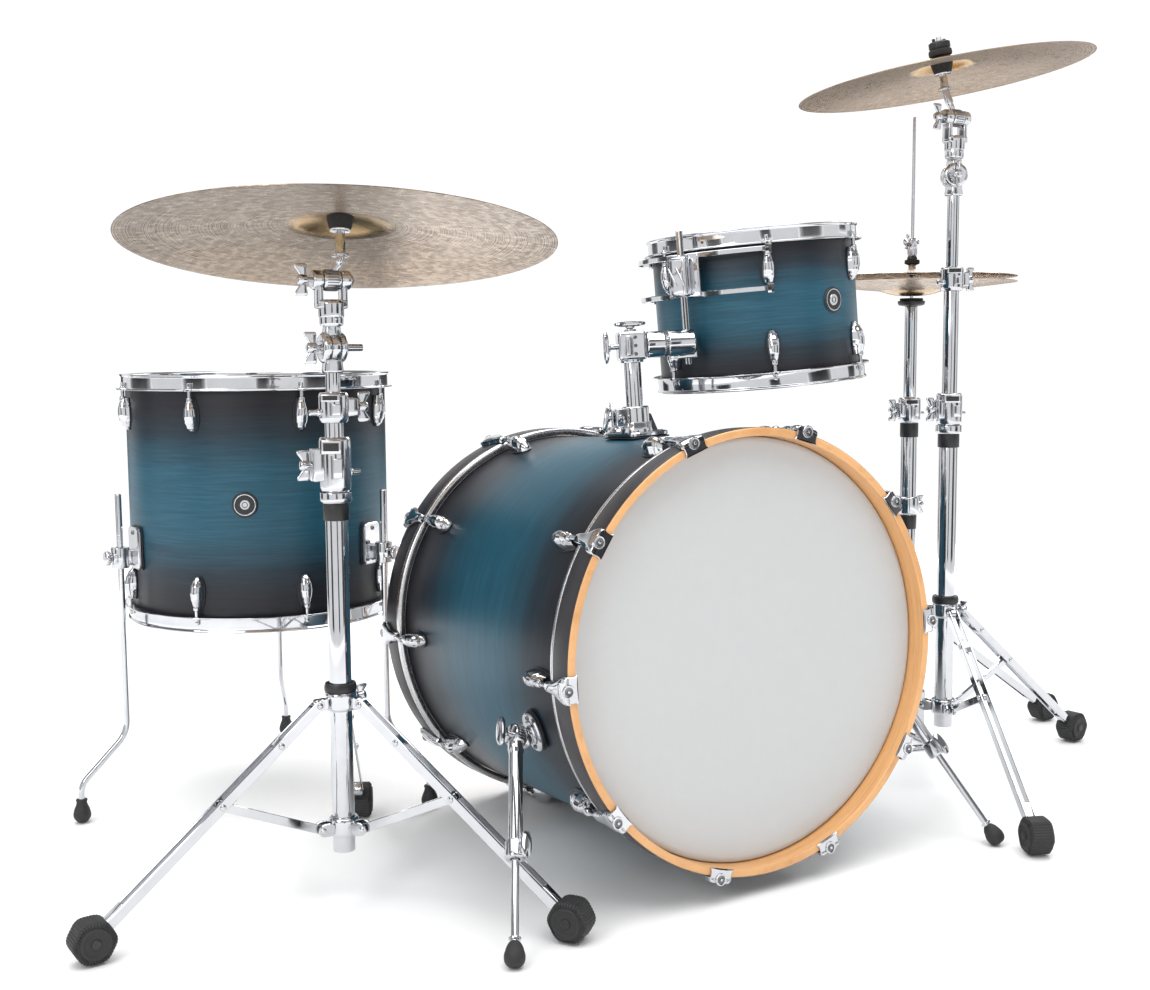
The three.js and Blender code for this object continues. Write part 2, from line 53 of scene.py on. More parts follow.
# ---- dimensions, as in the CAD -----------------------------------------------------
BASS = dict(r=279.5, half=254, wall=8, hoop_r=293, hoop_depth=38, lugs=10, tilt=2.64, roll=2.5, z=306.83)
TOM = dict(r=152.5, half=101.5, wall=6, lugs=6, at=(224.5, 31.6, 774), axis=(-0.0776, 0.0246, 0.9967))
FLOOR = dict(r=203, half=178, wall=6, lugs=8, at=(-416, 503, 489), leg_az=(66, -54, -174), foot_r=305)
SPUR = dict(az=104.5, y=-150, out=32, foot=(390, -320, 14))
POST = dict(base=(0, -10), r=12.4, low=196, head=412)
ARM = dict(at=(58, -24, 718), rod=6, top=878)
RIDE = dict(
    name="ride", at=(-483.3, -22), leg_az=(65, -55, -175), reach=350, tube=14.4, collar=276, footing=100,
    top=536, neck=(536, 606, 640, 780), neck_r=(12.4, 9.5), pivot=802, boom=718,
    cymbal=dict(r=273.5, bell=70, rise=42, at=(-468.5, -19.8, 848), axis=(0.076, 0.136, 0.988)), boom_az=0,
)
CRASH = dict(
    name="crash", at=(559, -46), leg_az=(6, -114, 126), reach=385, tube=15, collar=294, footing=122,
    top=588, neck=(588, 640, 820, 1050), neck_r=(12.4, 9.5), pivot=1076, boom=986,
    cymbal=dict(r=229.5, bell=56, rise=34, at=(544.1, -34.2, 1136.6), axis=(-0.129, 0.070, 0.989)), boom_az=58,
)
HAT = dict(at=(652, 142), leg_az=(-4, 114), reach=360, z=831, r=178, bell=60, tube=14, pedal_az=80, top=1112)

SHIFT = Vector(joint["ride_tilt"]["pos_m"]) / MM - Vector((*RIDE["at"], RIDE["pivot"]))
WORLD = Matrix.Translation(SHIFT)


# ---- small geometry helpers --------------------------------------------------------
def aim(at, axis, side=X):
    """Matrix whose Z runs along `axis` from `at`, with X as near `side` as it can be."""
    z = Vector(axis).normalized()
    y = z.cross(Vector(side))
    if y.length < 1e-6:
        y = z.cross(Vector(Y))
    y.normalize()
    m = Matrix((y.cross(z), y, z)).transposed().to_4x4()
    m.translation = Vector(at)
    return m


def spin(degrees, axis="Z"):
    return Matrix.Rotation(math.radians(degrees), 4, axis)


def move(x=0, y=0, z=0):
    return Matrix.Translation((x, y, z))


def polar(r, degrees, z=0):
    a = math.radians(degrees)
    return Vector((r * math.cos(a), r * math.sin(a), z))


def soft(points, radius, steps=3, closed=False):
    """Rounds the corners of a profile or a path."""
    pts = [Vector(p) for p in points]
    out = []
    for i, p in enumerate(pts):
        if not closed and i in (0, len(pts) - 1):
            out.append(p)
            continue
        a, b = pts[i - 1] - p, pts[(i + 1) % len(pts)] - p
        cut = min(radius, a.length * 0.45, b.length * 0.45)
        start, end = p + a.normalized() * cut, p + b.normalized() * cut
        for k in range(steps + 1):
            t = k / steps
            out.append(start * (1 - t) ** 2 + p * (2 * t * (1 - t)) + end * t ** 2)
    return out


def blend_table(table, t):
    """Smooth value at t from a table of (t, value, ...) rows."""
    for low, high in zip(table, table[1:]):
        if t <= high[0]:
            s = (t - low[0]) / (high[0] - low[0])
            s = s * s * (3 - 2 * s)
            return [a + (b - a) * s for a, b in zip(low[1:], high[1:])]
    return list(table[-1][1:])


def oval(a, b, count=32, power=2.0):
    """Outline of a superellipse."""
    out = []
    for k in range(count):
        t = 2 * math.pi * k / count
        c, s = math.cos(t), math.sin(t)
        out.append(Vector((a * math.copysign(abs(c) ** (2 / power), c),
            b * math.copysign(abs(s) ** (2 / power), s))))
    return out


def stadium(length, width, start=0.0):
    """Outline of a bar with round ends, along X from `start`."""
    r = width / 2
    right = [Vector((start + length - r, 0)) + Vector((math.cos(a), math.sin(a))) * r
             for a in (math.pi * (k / 6 - 0.5) for k in range(7))]
    left = [Vector((start + r, 0)) + Vector((math.cos(a), math.sin(a))) * r
            for a in (math.pi * (k / 6 + 0.5) for k in range(7))]
    return right + left


def rect(x, y):
    """Outline of a rectangle, from its half sizes."""
    return [(-x, -y), (x, -y), (x, y), (-x, y)]


def solid(r, low, high):
    """Profile of a plain cylinder."""
    return [(0, low), (r, low), (r, high), (0, high)]


def sleeve(r, bore, low, high):
    """Profile of a plain ring."""
    return [(r, low), (r, high), (bore, high), (bore, low)]


def off(x, y, *points):
    """Points of a profile or an outline, counted from x, y."""
    return [(x + px, y + py) for px, py in points]


# ---- materials ---------------------------------------------------------------------
class Nodes:
    """Short way to wire a material."""

    def __init__(self, name, turn=None, **values):
        self.turn = turn
        self.material = bpy.data.materials.new(name)
        self.material.use_nodes = True
        self.tree = self.material.node_tree
        self.shader = self.tree.nodes["Principled BSDF"]
        for key, value in values.items():
            self.shader.inputs[key.replace("_", " ")].default_value = value

    def add(self, kind, inputs=None, **settings):
        node = self.tree.nodes.new("ShaderNode" + kind)
        for key, value in settings.items():
            setattr(node, key, value)
        for key, value in (inputs or {}).items():
            if isinstance(value, bpy.types.NodeSocket):
                self.tree.links.new(value, node.inputs[key])
            else:
                node.inputs[key].default_value = value
        return node

    def math(self, operation, a, b=0.0):
        return self.add("Math", {0: a, 1: b}, operation=operation).outputs[0]

    def scaled(self, vector, scale):
        return self.add("Mapping", {"Vector": vector, "Scale": scale}).outputs[0]

    def noise(self, vector, detail=3.0, rough=0.55):
        node = self.add("TexNoise", {"Vector": vector, "Scale": 1.0, "Detail": detail, "Roughness": rough})
        return node.outputs["Fac"]

    def ramp(self, fac, stops, mode="LINEAR"):
        node = self.add("ValToRGB", {"Fac": fac})
        node.color_ramp.interpolation = mode
        while len(node.color_ramp.elements) < len(stops):
            node.color_ramp.elements.new(0.5)
        for element, (place, color) in zip(node.color_ramp.elements, stops):
            element.position = place
            element.color = (*color, 1) if isinstance(color, tuple) else (color, color, color, 1)
        return node.outputs["Color"]

    def mix(self, fac, a, b, mode="MIX"):
        node = self.add("Mix", data_type="RGBA", blend_type=mode)
        for place, value in ((0, fac), (6, a), (7, b)):
            if isinstance(value, bpy.types.NodeSocket):
                self.tree.links.new(value, node.inputs[place])
            else:
                node.inputs[place].default_value = value if place == 0 else (*value, 1)
        return node.outputs[2]

    def bump(self, height, strength, distance):
        node = self.add("Bump", {"Height": height, "Strength": strength, "Distance": distance * MM})
        self.feed("Normal", node.outputs["Normal"])

    def feed(self, name, socket):
        self.tree.links.new(socket, self.shader.inputs[name])

    @property
    def place(self):
        """Coordinates in metres, turned back into the drum's or cymbal's own frame if it leans."""
        at = self.add("TexCoord").outputs["Object"]
        if self.turn is None:
            return at
        back = {"Vector": at, "Rotation": tuple(self.turn.to_euler())}
        return self.add("VectorRotate", back, rotation_type="EULER_XYZ", invert=True).outputs[0]


MATERIAL = {}


def lacquer(name, half, turn=None):
    """Satin burst over a wood veneer: teal in the middle, charcoal at both ends, grain round the drum."""
    n = Nodes(name, turn, Specular_IOR_Level=0.36)
    at = n.place
    grain = n.noise(n.scaled(at, (13, 13, 300)), 6.0, 0.62)
    fine = n.noise(n.scaled(at, (30, 30, 1500)), 3.0, 0.6)
    cloud = n.noise(n.scaled(at, (5, 5, 9)), 2.0)
    z = n.add("SeparateXYZ", {0: at}).outputs["Z"]
    far = n.math("DIVIDE", n.math("ABSOLUTE", z), half * MM)
    far = n.math("ADD", far, n.math("MULTIPLY", n.math("SUBTRACT", cloud, 0.5), 0.16))
    burst = n.ramp(far, [(0.0, 0.0), (0.24, 0.07), (0.43, 0.44), (0.62, 0.86), (0.82, 1.0)], "EASE")
    teal = n.ramp(grain, [(0.30, (0.013, 0.078, 0.122)), (0.52, (0.018, 0.100, 0.152)),
        (0.72, (0.026, 0.128, 0.188))])
    teal = n.mix(0.22, teal, n.ramp(fine, [(0.35, 0.03), (0.65, 0.20)]), "SOFT_LIGHT")
    dark = n.ramp(grain, [(0.3, (0.0085, 0.0088, 0.0130)), (0.75, (0.0150, 0.0155, 0.0215))])
    n.feed("Base Color", n.mix(burst, teal, dark))
    n.feed("Roughness", n.ramp(fine, [(0.3, 0.33), (0.7, 0.42)]))
    n.bump(fine, 0.25, 0.05)
    MATERIAL[name] = n.material


def chrome(name, color=(0.60, 0.61, 0.635), low=0.04, high=0.10, wave=0.0):
    """Plated metal with faint polishing haze."""
    n = Nodes(name, Metallic=1.0)
    at = n.place
    haze = n.noise(n.scaled(at, (40, 40, 40)), 4.0)
    wear = n.noise(n.scaled(at, (420, 420, 60)), 3.0)
    n.feed("Base Color", n.ramp(haze, [(0.3, tuple(c * 0.93 for c in color)), (0.7, color)]))
    n.feed("Roughness", n.ramp(n.math("MULTIPLY", haze, wear), [(0.12, low), (0.42, high)]))
    if wave:
        n.bump(haze, 0.3, wave)
    MATERIAL[name] = n.material


def plain(name, dark, light, rough, scale, strength=0.3, depth=0.2, detail=4.0, **values):
    """Mottled surface with a fine bump, for rubber, felt, nylon and film."""
    n = Nodes(name, **values)
    at = n.place
    grit = n.noise(n.scaled(at, (scale,) * 3), detail)
    broad = n.noise(n.scaled(at, (scale / 14,) * 3), 2.0)
    n.feed("Base Color", n.ramp(n.math("MULTIPLY", n.math("ADD", grit, broad), 0.5),
        [(0.3, dark), (0.7, light)]))
    n.feed("Roughness", n.ramp(broad, [(0.3, rough[0]), (0.7, rough[1])]))
    n.bump(grit, strength, depth)
    MATERIAL[name] = n.material


def maple(name, dark, light, deep, turn):
    """Bent hoop wood, with its grain round the drum's axis."""
    n = Nodes(name, turn, Roughness=0.38, Coat_Weight=0.25, Coat_Roughness=0.22)
    at = n.place
    grain = n.noise(n.scaled(at, (9, 9, 420)), 5.0, 0.6)
    fleck = n.noise(n.scaled(at, (60, 60, 900)), 2.0)
    wood = n.ramp(grain, [(0.28, dark), (0.5, light), (0.74, tuple(c * 1.08 for c in light))])
    n.feed("Base Color", n.mix(n.ramp(fleck, [(0.55, 0.0), (0.75, 0.35)]), wood, deep))
    n.feed("Roughness", n.ramp(fleck, [(0.3, 0.30), (0.7, 0.44)]))
    n.bump(grain, 0.2, 0.08)
    MATERIAL[name] = n.material


def bronze(name, bell, turn=None):
    """Lathed and hammered cymbal: fine rings with broken dark dashes, and a smoother, warmer bell."""
    n = Nodes(name, turn, Metallic=1.0)
    at = n.place
    flat = n.scaled(at, (1, 1, 0))
    length = n.add("VectorMath", {0: flat}, operation="LENGTH").outputs["Value"]
    wobble = n.math("MULTIPLY", n.noise(n.scaled(at, (22, 22, 22)), 2.0), 0.0012)
    out = n.math("ADD", length, wobble)
    rings = n.add("TexNoise", {"W": out, "Scale": 620.0, "Detail": 2.0}, noise_dimensions="1D").outputs["Fac"]
    groove = n.math("SINE", n.math("MULTIPLY", out, 2 * math.pi / 0.0022))
    hammer = n.add("TexVoronoi", {"Vector": at, "Scale": 62.0, "Smoothness": 0.7},
        feature="SMOOTH_F1").outputs["Distance"]
    patch = n.noise(n.scaled(at, (95, 95, 95)), 3.0)
    wide = n.noise(n.scaled(at, (9, 9, 9)), 2.0)
    gold = n.ramp(rings, [(0.34, (0.18, 0.115, 0.070)), (0.46, (0.42, 0.300, 0.205)),
        (0.70, (0.55, 0.425, 0.310))])
    dash = n.math("MULTIPLY", n.ramp(patch, [(0.46, 0.0), (0.56, 1.0)]),
        n.ramp(rings, [(0.44, 1.0), (0.56, 0.0)]))
    face = n.mix(n.math("MULTIPLY", dash, 0.85), gold, (0.085, 0.060, 0.042))
    face = n.mix(n.ramp(wide, [(0.35, 0.0), (0.7, 0.35)]), face, (0.48, 0.405, 0.345))
    centre = n.ramp(n.math("DIVIDE", length, bell * MM), [(0.86, 1.0), (1.02, 0.0)])
    n.feed("Base Color", n.mix(centre, face, (0.47, 0.325, 0.175)))
    n.feed("Roughness", n.mix(centre, n.ramp(patch, [(0.3, 0.24), (0.7, 0.40)]), (0.26, 0.26, 0.26)))
    height = n.math("ADD", n.math("MULTIPLY", hammer, 2.2), n.math("MULTIPLY", groove, 0.10))
    n.bump(height, 0.42, 0.40)
    MATERIAL[name] = n.material


bass = WORLD @ move(z=BASS["z"]) @ spin(-BASS["tilt"], "X") @ spin(-BASS["roll"], "Y")
bass_side = {side: bass @ aim((0, 0, 0), (0, -side, 0), (side, 0, 0)) for side in (1, -1)}
lacquer("lacquer_bass", BASS["half"], bass_side[1])
lacquer("lacquer_floor", FLOOR["half"])
lacquer("lacquer_tom", TOM["half"], aim((0, 0, 0), TOM["axis"]))
chrome("chrome")
chrome("chrome_cast", low=0.07, high=0.17, wave=0.25)
chrome("aluminium", color=(0.66, 0.66, 0.67), low=0.20, high=0.32)
chrome("dark_metal", color=(0.20, 0.20, 0.21), low=0.25, high=0.4)
plain("film", (0.500, 0.510, 0.514), (0.518, 0.528, 0.531), (0.36, 0.44), 900, 0.12, 0.03)
plain("rubber", (0.011, 0.011, 0.012), (0.026, 0.026, 0.027), (0.55, 0.72), 700, 0.4, 0.12)
plain("nylon", (0.010, 0.010, 0.011), (0.020, 0.020, 0.022), (0.32, 0.45), 400, 0.2, 0.05)
plain("felt", (0.008, 0.008, 0.009), (0.034, 0.034, 0.036), (0.9, 1.0), 1500, 0.9, 0.5, 6.0)
plain("hoop_black", (0.020, 0.019, 0.022), (0.036, 0.034, 0.038), (0.36, 0.46), 260, 0.3, 0.06)
maple("maple", (0.57, 0.280, 0.098), (0.70, 0.375, 0.155), (0.45, 0.205, 0.070), bass_side[1])
for s in (RIDE, CRASH):
    bronze(f"bronze_{s['name']}", s["cymbal"]["bell"], aim((0, 0, 0), s["cymbal"]["axis"]))
bronze("bronze_hat", HAT["bell"])

# ---- pieces ------------------------------------------------------------------------
CHROME, CAST, NYLON, DARK = "chrome", "chrome_cast", "nylon", "dark_metal"
SHARP_EDGE = math.radians(33)


class Piece:
    """One visible piece: faces in millimetres in its own frame."""

    def __init__(self, place=WORLD):
        self.place = place
        self.verts, self.faces, self.index, self.used = [], [], [], []

    def add(self, verts, faces, mat, at=None):
        base = len(self.verts)
        if mat not in self.used:
            self.used.append(mat)
        self.verts += [at @ Vector(v) for v in verts] if at is not None else [Vector(v) for v in verts]
        self.faces += [[i + base for i in face] for face in faces]
        self.index += [self.used.index(mat)] * len(faces)

    def rings(self, rings, mat, at=None):
        """Skin over rings of equal point count, closed at both ends."""
        count = len(rings[0])
        verts = [v for ring in rings for v in ring]
        faces = []
        for i in range(len(rings) - 1):
            a, b = i * count, (i + 1) * count
            faces += [[a + k, a + (k + 1) % count, b + (k + 1) % count, b + k] for k in range(count)]
        faces += [list(range(count))[::-1], [len(verts) - count + k for k in range(count)]]
        self.add(verts, faces, mat, at)

    def lathe(self, profile, mat, at=None, seg=40):
        """Turned shape from [r, z] points: open if it ends on the axis, else a closed loop."""
        pts = [Vector(p) for p in profile]
        on_axis = [p.x < 1e-6 for p in pts]
        verts, rows = [], []
        for p, tip in zip(pts, on_axis):
            rows.append([len(verts)] * seg if tip else list(range(len(verts), len(verts) + seg)))
            verts += [Vector((0, 0, p.y))] if tip else [polar(p.x, 360 * k / seg, p.y) for k in range(seg)]
        pairs = list(zip(rows, rows[1:]))
        if not (on_axis[0] and on_axis[-1]):
            pairs.append((rows[-1], rows[0]))
        faces = []
        for a, b in pairs:
            for k in range(seg):
                m = (k + 1) % seg
                face = list(dict.fromkeys([a[k], a[m], b[m], b[k]]))
                if len(face) > 2:
                    faces.append(face)
        self.add(verts, faces, mat, at)

    def turned(self, profile, mat, at=None, seg=40, edge=0.8):
        """Lathe with eased corners."""
        closed = profile[0][0] > 1e-6
        self.lathe(soft(profile, edge, 2, closed), mat, at, seg)

    def plate(self, outline, low, high, mat, at=None, edge=0.7):
        """Flat outline in XY made thick along Z, with eased edges."""
        outline = [Vector(v) for v in outline]
        count = len(outline)
        inner = []
        for k, p in enumerate(outline):
            way = (outline[(k + 1) % count] - outline[k - 1]).normalized()
            inner.append(p - Vector((way.y, -way.x)) * edge)
        tall = min(edge, (high - low) * 0.45)
        self.rings([
            [Vector((p.x, p.y, low)) for p in inner],
            [Vector((p.x, p.y, low + tall)) for p in outline],
            [Vector((p.x, p.y, high - tall)) for p in outline],
            [Vector((p.x, p.y, high)) for p in inner],
        ], mat, at)

    def block(self, size, mat, at=None, edge=1.5, top=1.0):
        """Cast block centred on its frame, with rounded edges; `top` narrows its +Z end."""
        bm = bmesh.new()
        bmesh.ops.create_cube(bm, size=1.0)
        for v in bm.verts:
            taper = top if v.co.z > 0 else 1.0
            v.co = Vector((v.co.x * size[0] * taper, v.co.y * size[1] * taper, v.co.z * size[2]))
        bmesh.ops.bevel(bm, geom=list(bm.edges), offset=min(edge, min(size) * 0.4), segments=3, affect="EDGES",
            profile=0.5)
        bm.verts.index_update()
        self.add([v.co.copy() for v in bm.verts], [[v.index for v in f.verts] for f in bm.faces], mat, at)
        bm.free()

    def tube(self, points, r, mat, at=None, seg=16):
        """Round bar along a path."""
        pts = [Vector(p) for p in points]
        rings, side = [], None
        for i, p in enumerate(pts):
            way = (pts[min(i + 1, len(pts) - 1)] - pts[max(i - 1, 0)]).normalized()
            if side is None:
                side = way.cross(Vector((0.3, 0.9, 0.2))).normalized()
            side = (side - way * side.dot(way)).normalized()
            other = way.cross(side)
            rings.append([p + (side * math.cos(a) + other * math.sin(a)) * r
                          for a in (2 * math.pi * k / seg for k in range(seg))])
        self.rings(rings, mat, at)

    def done(self, name, body, *nodes, slot="chrome"):
        """The rotation goes into the mesh and the object keeps only its place, so its box is true."""
        mesh = bpy.data.meshes.new(name)
        turn = self.place.to_3x3() * MM
        mesh.from_pydata([turn @ v for v in self.verts], [], self.faces)
        for mat in self.used:
            mesh.materials.append(MATERIAL[mat])
        mesh.polygons.foreach_set("material_index", self.index)
        bm = bmesh.new()
        bm.from_mesh(mesh)
        bmesh.ops.recalc_face_normals(bm, faces=bm.faces)
        bm.to_mesh(mesh)
        bm.free()
        mesh.shade_smooth()
        mesh.set_sharp_from_angle(angle=SHARP_EDGE)
        obj = bpy.data.objects.new(name, mesh)
        scene.collection.objects.link(obj)
        obj.matrix_world = Matrix.Translation(self.place.translation * MM)
        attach(obj, body)
        if nodes:
            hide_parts(*nodes)
        return obj


# ---- shared hardware ---------------------------------------------------------------
def wing(p, at, reach=14, span=19, size=1.0):
    """Wing bolt: shank and hub along +Z of `at`, two ears along X. Each ear row is (x, thick, tall, lift)."""
    p.turned([(0, -2), (3.6, -2), (3.6, reach - 6), (6.4, reach - 5), (7.2, reach + 3), (5.4, reach + 7),
        (0, reach + 7.5)], CAST, at, 20, 1.2)
    ears = [(3, 5.4, 8, 0.5), (7, 4.6, 9, 1.0), (11, 4.2, 12.5, 2.2), (15, 4.0, 16, 3.2),
        (18.6, 3.8, 16.4, 3.8), (20, 2.2, 13, 3.8)]
    for way in (1, -1):
        rings = []
        for x, thick, tall, lift in ears:
            rings.append([Vector((way * x * span / 20, v.x * size, reach - 1 + lift + v.y * size))
                          for v in oval(thick / 2, tall / 2, 18, 3.2)])
        p.rings(rings, CAST, at)


def oval_wing(p, at, reach=12, half_long=23, half_wide=9):
    """Drum bracket's wing bolt: a shank along +Z of `at` with an oval pad whose long side is X."""
    p.turned([(0, -2), (4, -2), (4, reach - 4), (6.6, reach - 3), (6.6, reach), (0, reach)], CHROME, at, 22,
        0.8)
    rings = []
    for z, part in ((reach - 1.0, 0.72), (reach + 0.4, 0.93), (reach + 2.4, 1.0), (reach + 4.6, 0.95),
            (reach + 6.0, 0.72), (reach + 6.4, 0.3)):
        rings.append([Vector((v.x, v.y, z)) for v in oval(half_long * part, half_wide * part, 36, 2.2)])
    p.rings(rings, CHROME, at)


def dome(p, at, r, tall):
    """Rivet or pin head standing on its frame's XY plane."""
    p.lathe([(0, -0.4), (r, -0.4), (r, tall * 0.3), (r * 0.86, tall * 0.68), (r * 0.5, tall * 0.93), (0, tall)],
        CHROME, at, 18)


def key_head(p, at, size=5.6, tall=8):
    """Square-headed tension screw with its washer."""
    p.turned(solid(size * 0.95, -0.2, 1.3), CHROME, at, 20, 0.3)
    p.turned([(0, 1.0), (size * 0.68, 1.0), (size * 0.62, 3.4), (0, 3.5)], CHROME, at, 18, 0.4)
    p.block((size * 0.82, size * 0.82, tall - 3), CHROME, at @ move(z=3 + (tall - 3) / 2), 0.5)


def screw(p, at, r=3.4):
    """Socket screw set in a surface."""
    p.lathe([(0, 1.4), (r * 0.5, 1.4), (r * 0.55, 2.4), (r * 0.9, 2.6), (r, 2.0), (r, 0), (0, 0)], DARK, at, 18)


LUG = [(0.0, 0.16, 0.06), (0.05, 0.44, 0.34), (0.14, 0.72, 0.62), (0.32, 0.96, 0.88), (0.5, 1.0, 1.0),
       (0.68, 0.92, 0.98), (0.82, 0.76, 0.86), (0.93, 0.64, 0.74), (1.0, 0.52, 0.60)]


def lug(p, at, length, width, height):
    """Teardrop casing on the XY plane's YZ wall: X outward, its nose at z = 0 and the rod end at z = length."""
    rings = []
    for k in range(25):
        t = k / 24
        w, h = blend_table(LUG, t)
        ring = []
        for m in range(17):
            a = math.pi * m / 16
            c, s = math.cos(a), math.sin(a)
            ring.append(Vector((1.0 + (height - 1) * h * abs(s) ** 0.82,
                width / 2 * w * math.copysign(abs(c) ** 0.9, c), length * t)))
        rings.append(ring)
    p.rings(rings, CHROME, at)


def lug_gasket(p, at, length, width):
    """Thin dark washer between a lug and the shell."""
    left = [Vector((length * k / 24, width / 2 * blend_table(LUG, k / 24)[0] * 1.04 + 0.9)) for k in range(25)]
    outline = left[::-1] + [Vector((v.x, -v.y)) for v in left]
    turn = Matrix(((0, 0, 1, 0), (0, 1, 0, 0), (1, 0, 0, 0), (0, 0, 0, 1)))
    p.plate(outline, -0.2, 1.5, NYLON, at @ turn @ Matrix.Scale(-1, 4, Y), 0.3)


def foot_pear(p, at):
    """Pear-shaped rubber foot, its tip at z = 0."""
    p.turned([(0, 0.4), (7.5, 1.4), (12.6, 8), (13.3, 14), (11.2, 22), (8.4, 28), (7.6, 33), (8.6, 34),
        (8.6, 37), (0, 37)], "rubber", at, 28, 2.2)


# ---- bass drum ---------------------------------------------------------------------
POST_HOLE_R, BASS_LUG = 14.4, (54, 23, 23.5)  # a lug's length, width and height
half, hoop_r, shell_r = BASS["half"], BASS["hoop_r"], BASS["r"]
front = half - 11 + BASS["hoop_depth"]
lug_foot, rod_line = half - 92, shell_r + 18.6

p = Piece(bass_side[1])
p.turned([(shell_r, -half + 2), (shell_r, half - 2), (shell_r - 3.5, half), (shell_r - 8, half - 5),
    (shell_r - 8, 5 - half), (shell_r - 3.5, -half)], "lacquer_bass", seg=180, edge=1.2)
bass_shell = p.done("bass_shell_wood", "kit", "bass_shell", slot="lacquer")

# The post runs through the shell, so the shell has its hole.
cutter = bpy.data.objects.new("cutter", bpy.data.meshes.new("cutter"))
bm = bmesh.new()
bmesh.ops.create_cone(bm, cap_ends=True, segments=32, radius1=POST_HOLE_R * MM,
                      radius2=POST_HOLE_R * MM, depth=160 * MM)
bm.to_mesh(cutter.data)
bm.free()
scene.collection.objects.link(cutter)
hole = bass @ move(*POST["base"], shell_r)
hole.translation *= MM
cutter.matrix_world = hole
cut = bass_shell.modifiers.new("post_hole", "BOOLEAN")
cut.object, cut.operation, cut.solver = cutter, "DIFFERENCE", "EXACT"
bpy.context.view_layer.update()
holed = bpy.data.meshes.new_from_object(bass_shell.evaluated_get(bpy.context.evaluated_depsgraph_get()))
bass_shell.modifiers.clear()
bass_shell.data = holed
bpy.data.objects.remove(cutter)

for label, side in (("front", 1), ("batter", -1)):
    place = bass_side[side]
    p = Piece(place)
    p.lathe(soft([(0, half + 1.5), (shell_r - 4, half + 1.5), (shell_r + 1.9, half - 1.0),
        (shell_r + 1.9, half - 16), (shell_r + 0.5, half - 16), (shell_r + 0.5, half - 2),
        (shell_r - 4, half + 0.4), (0, half + 0.4)], 3.0), "film", seg=160)
    p.done(f"bass_{label}_film", "kit", f"bass_{label}_head", slot="head_film")

    # hoop: maple inside and at the front edge, dark outside
    p = Piece(place)
    profile = soft([(shell_r + 2.6, half - 11), (hoop_r, half - 11), (hoop_r, front), (shell_r + 2.6, front)],
        2.6, 4, True)
    p.lathe(profile, "maple", seg=160)
    dark_band = soft([(hoop_r - 0.6, half - 10.6), (hoop_r + 0.25, half - 10.6), (hoop_r + 0.25, front - 1.6),
        (hoop_r - 0.6, front - 1.6)], 0.2, 2, True)
    p.lathe(dark_band, "hoop_black", seg=160)
    p.done(f"bass_{label}_wood_hoop", "kit", f"bass_{label}_hoop", slot="maple")

    p = Piece(place)
    p.lathe(soft([(shell_r + 2.5, half - 19.5), (shell_r + 9, half - 21), (hoop_r - 0.2, half - 18.5),
        (hoop_r + 0.2, half - 14), (hoop_r - 0.2, half - 11.6), (shell_r + 2.5, half - 11.6)], 2.2, 4, True),
        "aluminium", seg=160)
    p.done(f"bass_{label}_flesh_ring", "kit", f"bass_{label}_tension")

    claws, rods, lugs, pads = Piece(place), Piece(place), Piece(place), Piece(place)
    for k in range(BASS["lugs"]):
        at = spin(360 / BASS["lugs"] * k)
        on_hoop = at @ move(x=hoop_r + 0.8)
        claw = [(half - 20, 9, 5.0), (half - 18, 12.5, 8.0), (half - 12, 15, 9.0), (half - 5, 16, 9.0),
            (half + 1, 17.5, 8.8), (half + 8, 24, 8.6), (half + 15, 31, 8.8), (front - 5, 35, 8.6),
            (front - 0.5, 36, 7.4), (front + 2.6, 35, 5.2), (front + 3.4, 33, 3.8)]
        rings = []
        for z, w, h in claw:
            rings.append([Vector((h * abs(math.sin(a)) ** 0.55,
                w / 2 * math.copysign(abs(math.cos(a)) ** 0.6, math.cos(a)), z))
                for a in (math.pi * m / 16 for m in range(17))])
        claws.rings(rings, CHROME, on_hoop)
        hook = [(-13, -19), (-8, -16), (4, -17), (6.5, -14), (6.5, 14), (4, 17), (-8, 16), (-13, 19),
            (-11.5, 8), (-11.5, -8)]
        claws.plate(soft(hook, 2.4, 3, True), front + 0.5, front + 3.4, CHROME, on_hoop, 0.8)
        claws.lathe(soft([(5.6, 0), (8.4, 0), (8.0, 2.6), (5.6, 2.2)], 0.6, 2, True), CHROME,
            on_hoop @ move(x=1.6, z=front + 2.6), 28)
        screw(rods, on_hoop @ move(x=1.6, z=front + 2.4), 5.2)
        rods.block((3.6, 3.6, 2.4), CHROME, on_hoop @ move(x=1.6, z=front + 4.6), 0.5)
        pads.plate([(0, -14), (0.9, -14), (0.9, 14), (0, 14)], half + 10, front + 0.3, NYLON,
                   at @ move(x=hoop_r + 0.3), 0.1)
        rods.tube([(rod_line, 0, half - 60), (rod_line, 0, half - 15)], 2.9, CHROME, at)
        rods.turned(off(0, half, (0, -42), (5.2, -42), (5.6, -36.5), (4.2, -33), (0, -33)), CHROME,
                    at @ move(x=rod_line), 20, 0.8)
        lug(lugs, at @ move(x=shell_r + 0.6, z=lug_foot), *BASS_LUG)
        lug_gasket(pads, at @ move(x=shell_r + 0.2, z=lug_foot), *BASS_LUG[:2])
    claws.done(f"bass_{label}_claws", "kit", f"bass_{label}_tension")
    rods.done(f"bass_{label}_rods", "kit", f"bass_{label}_tension")
    lugs.done(f"bass_{label}_lugs", "kit", f"bass_{label}_tension")
    pads.done(f"bass_{label}_gaskets", "kit", f"bass_{label}_tension", slot="black_plastic")

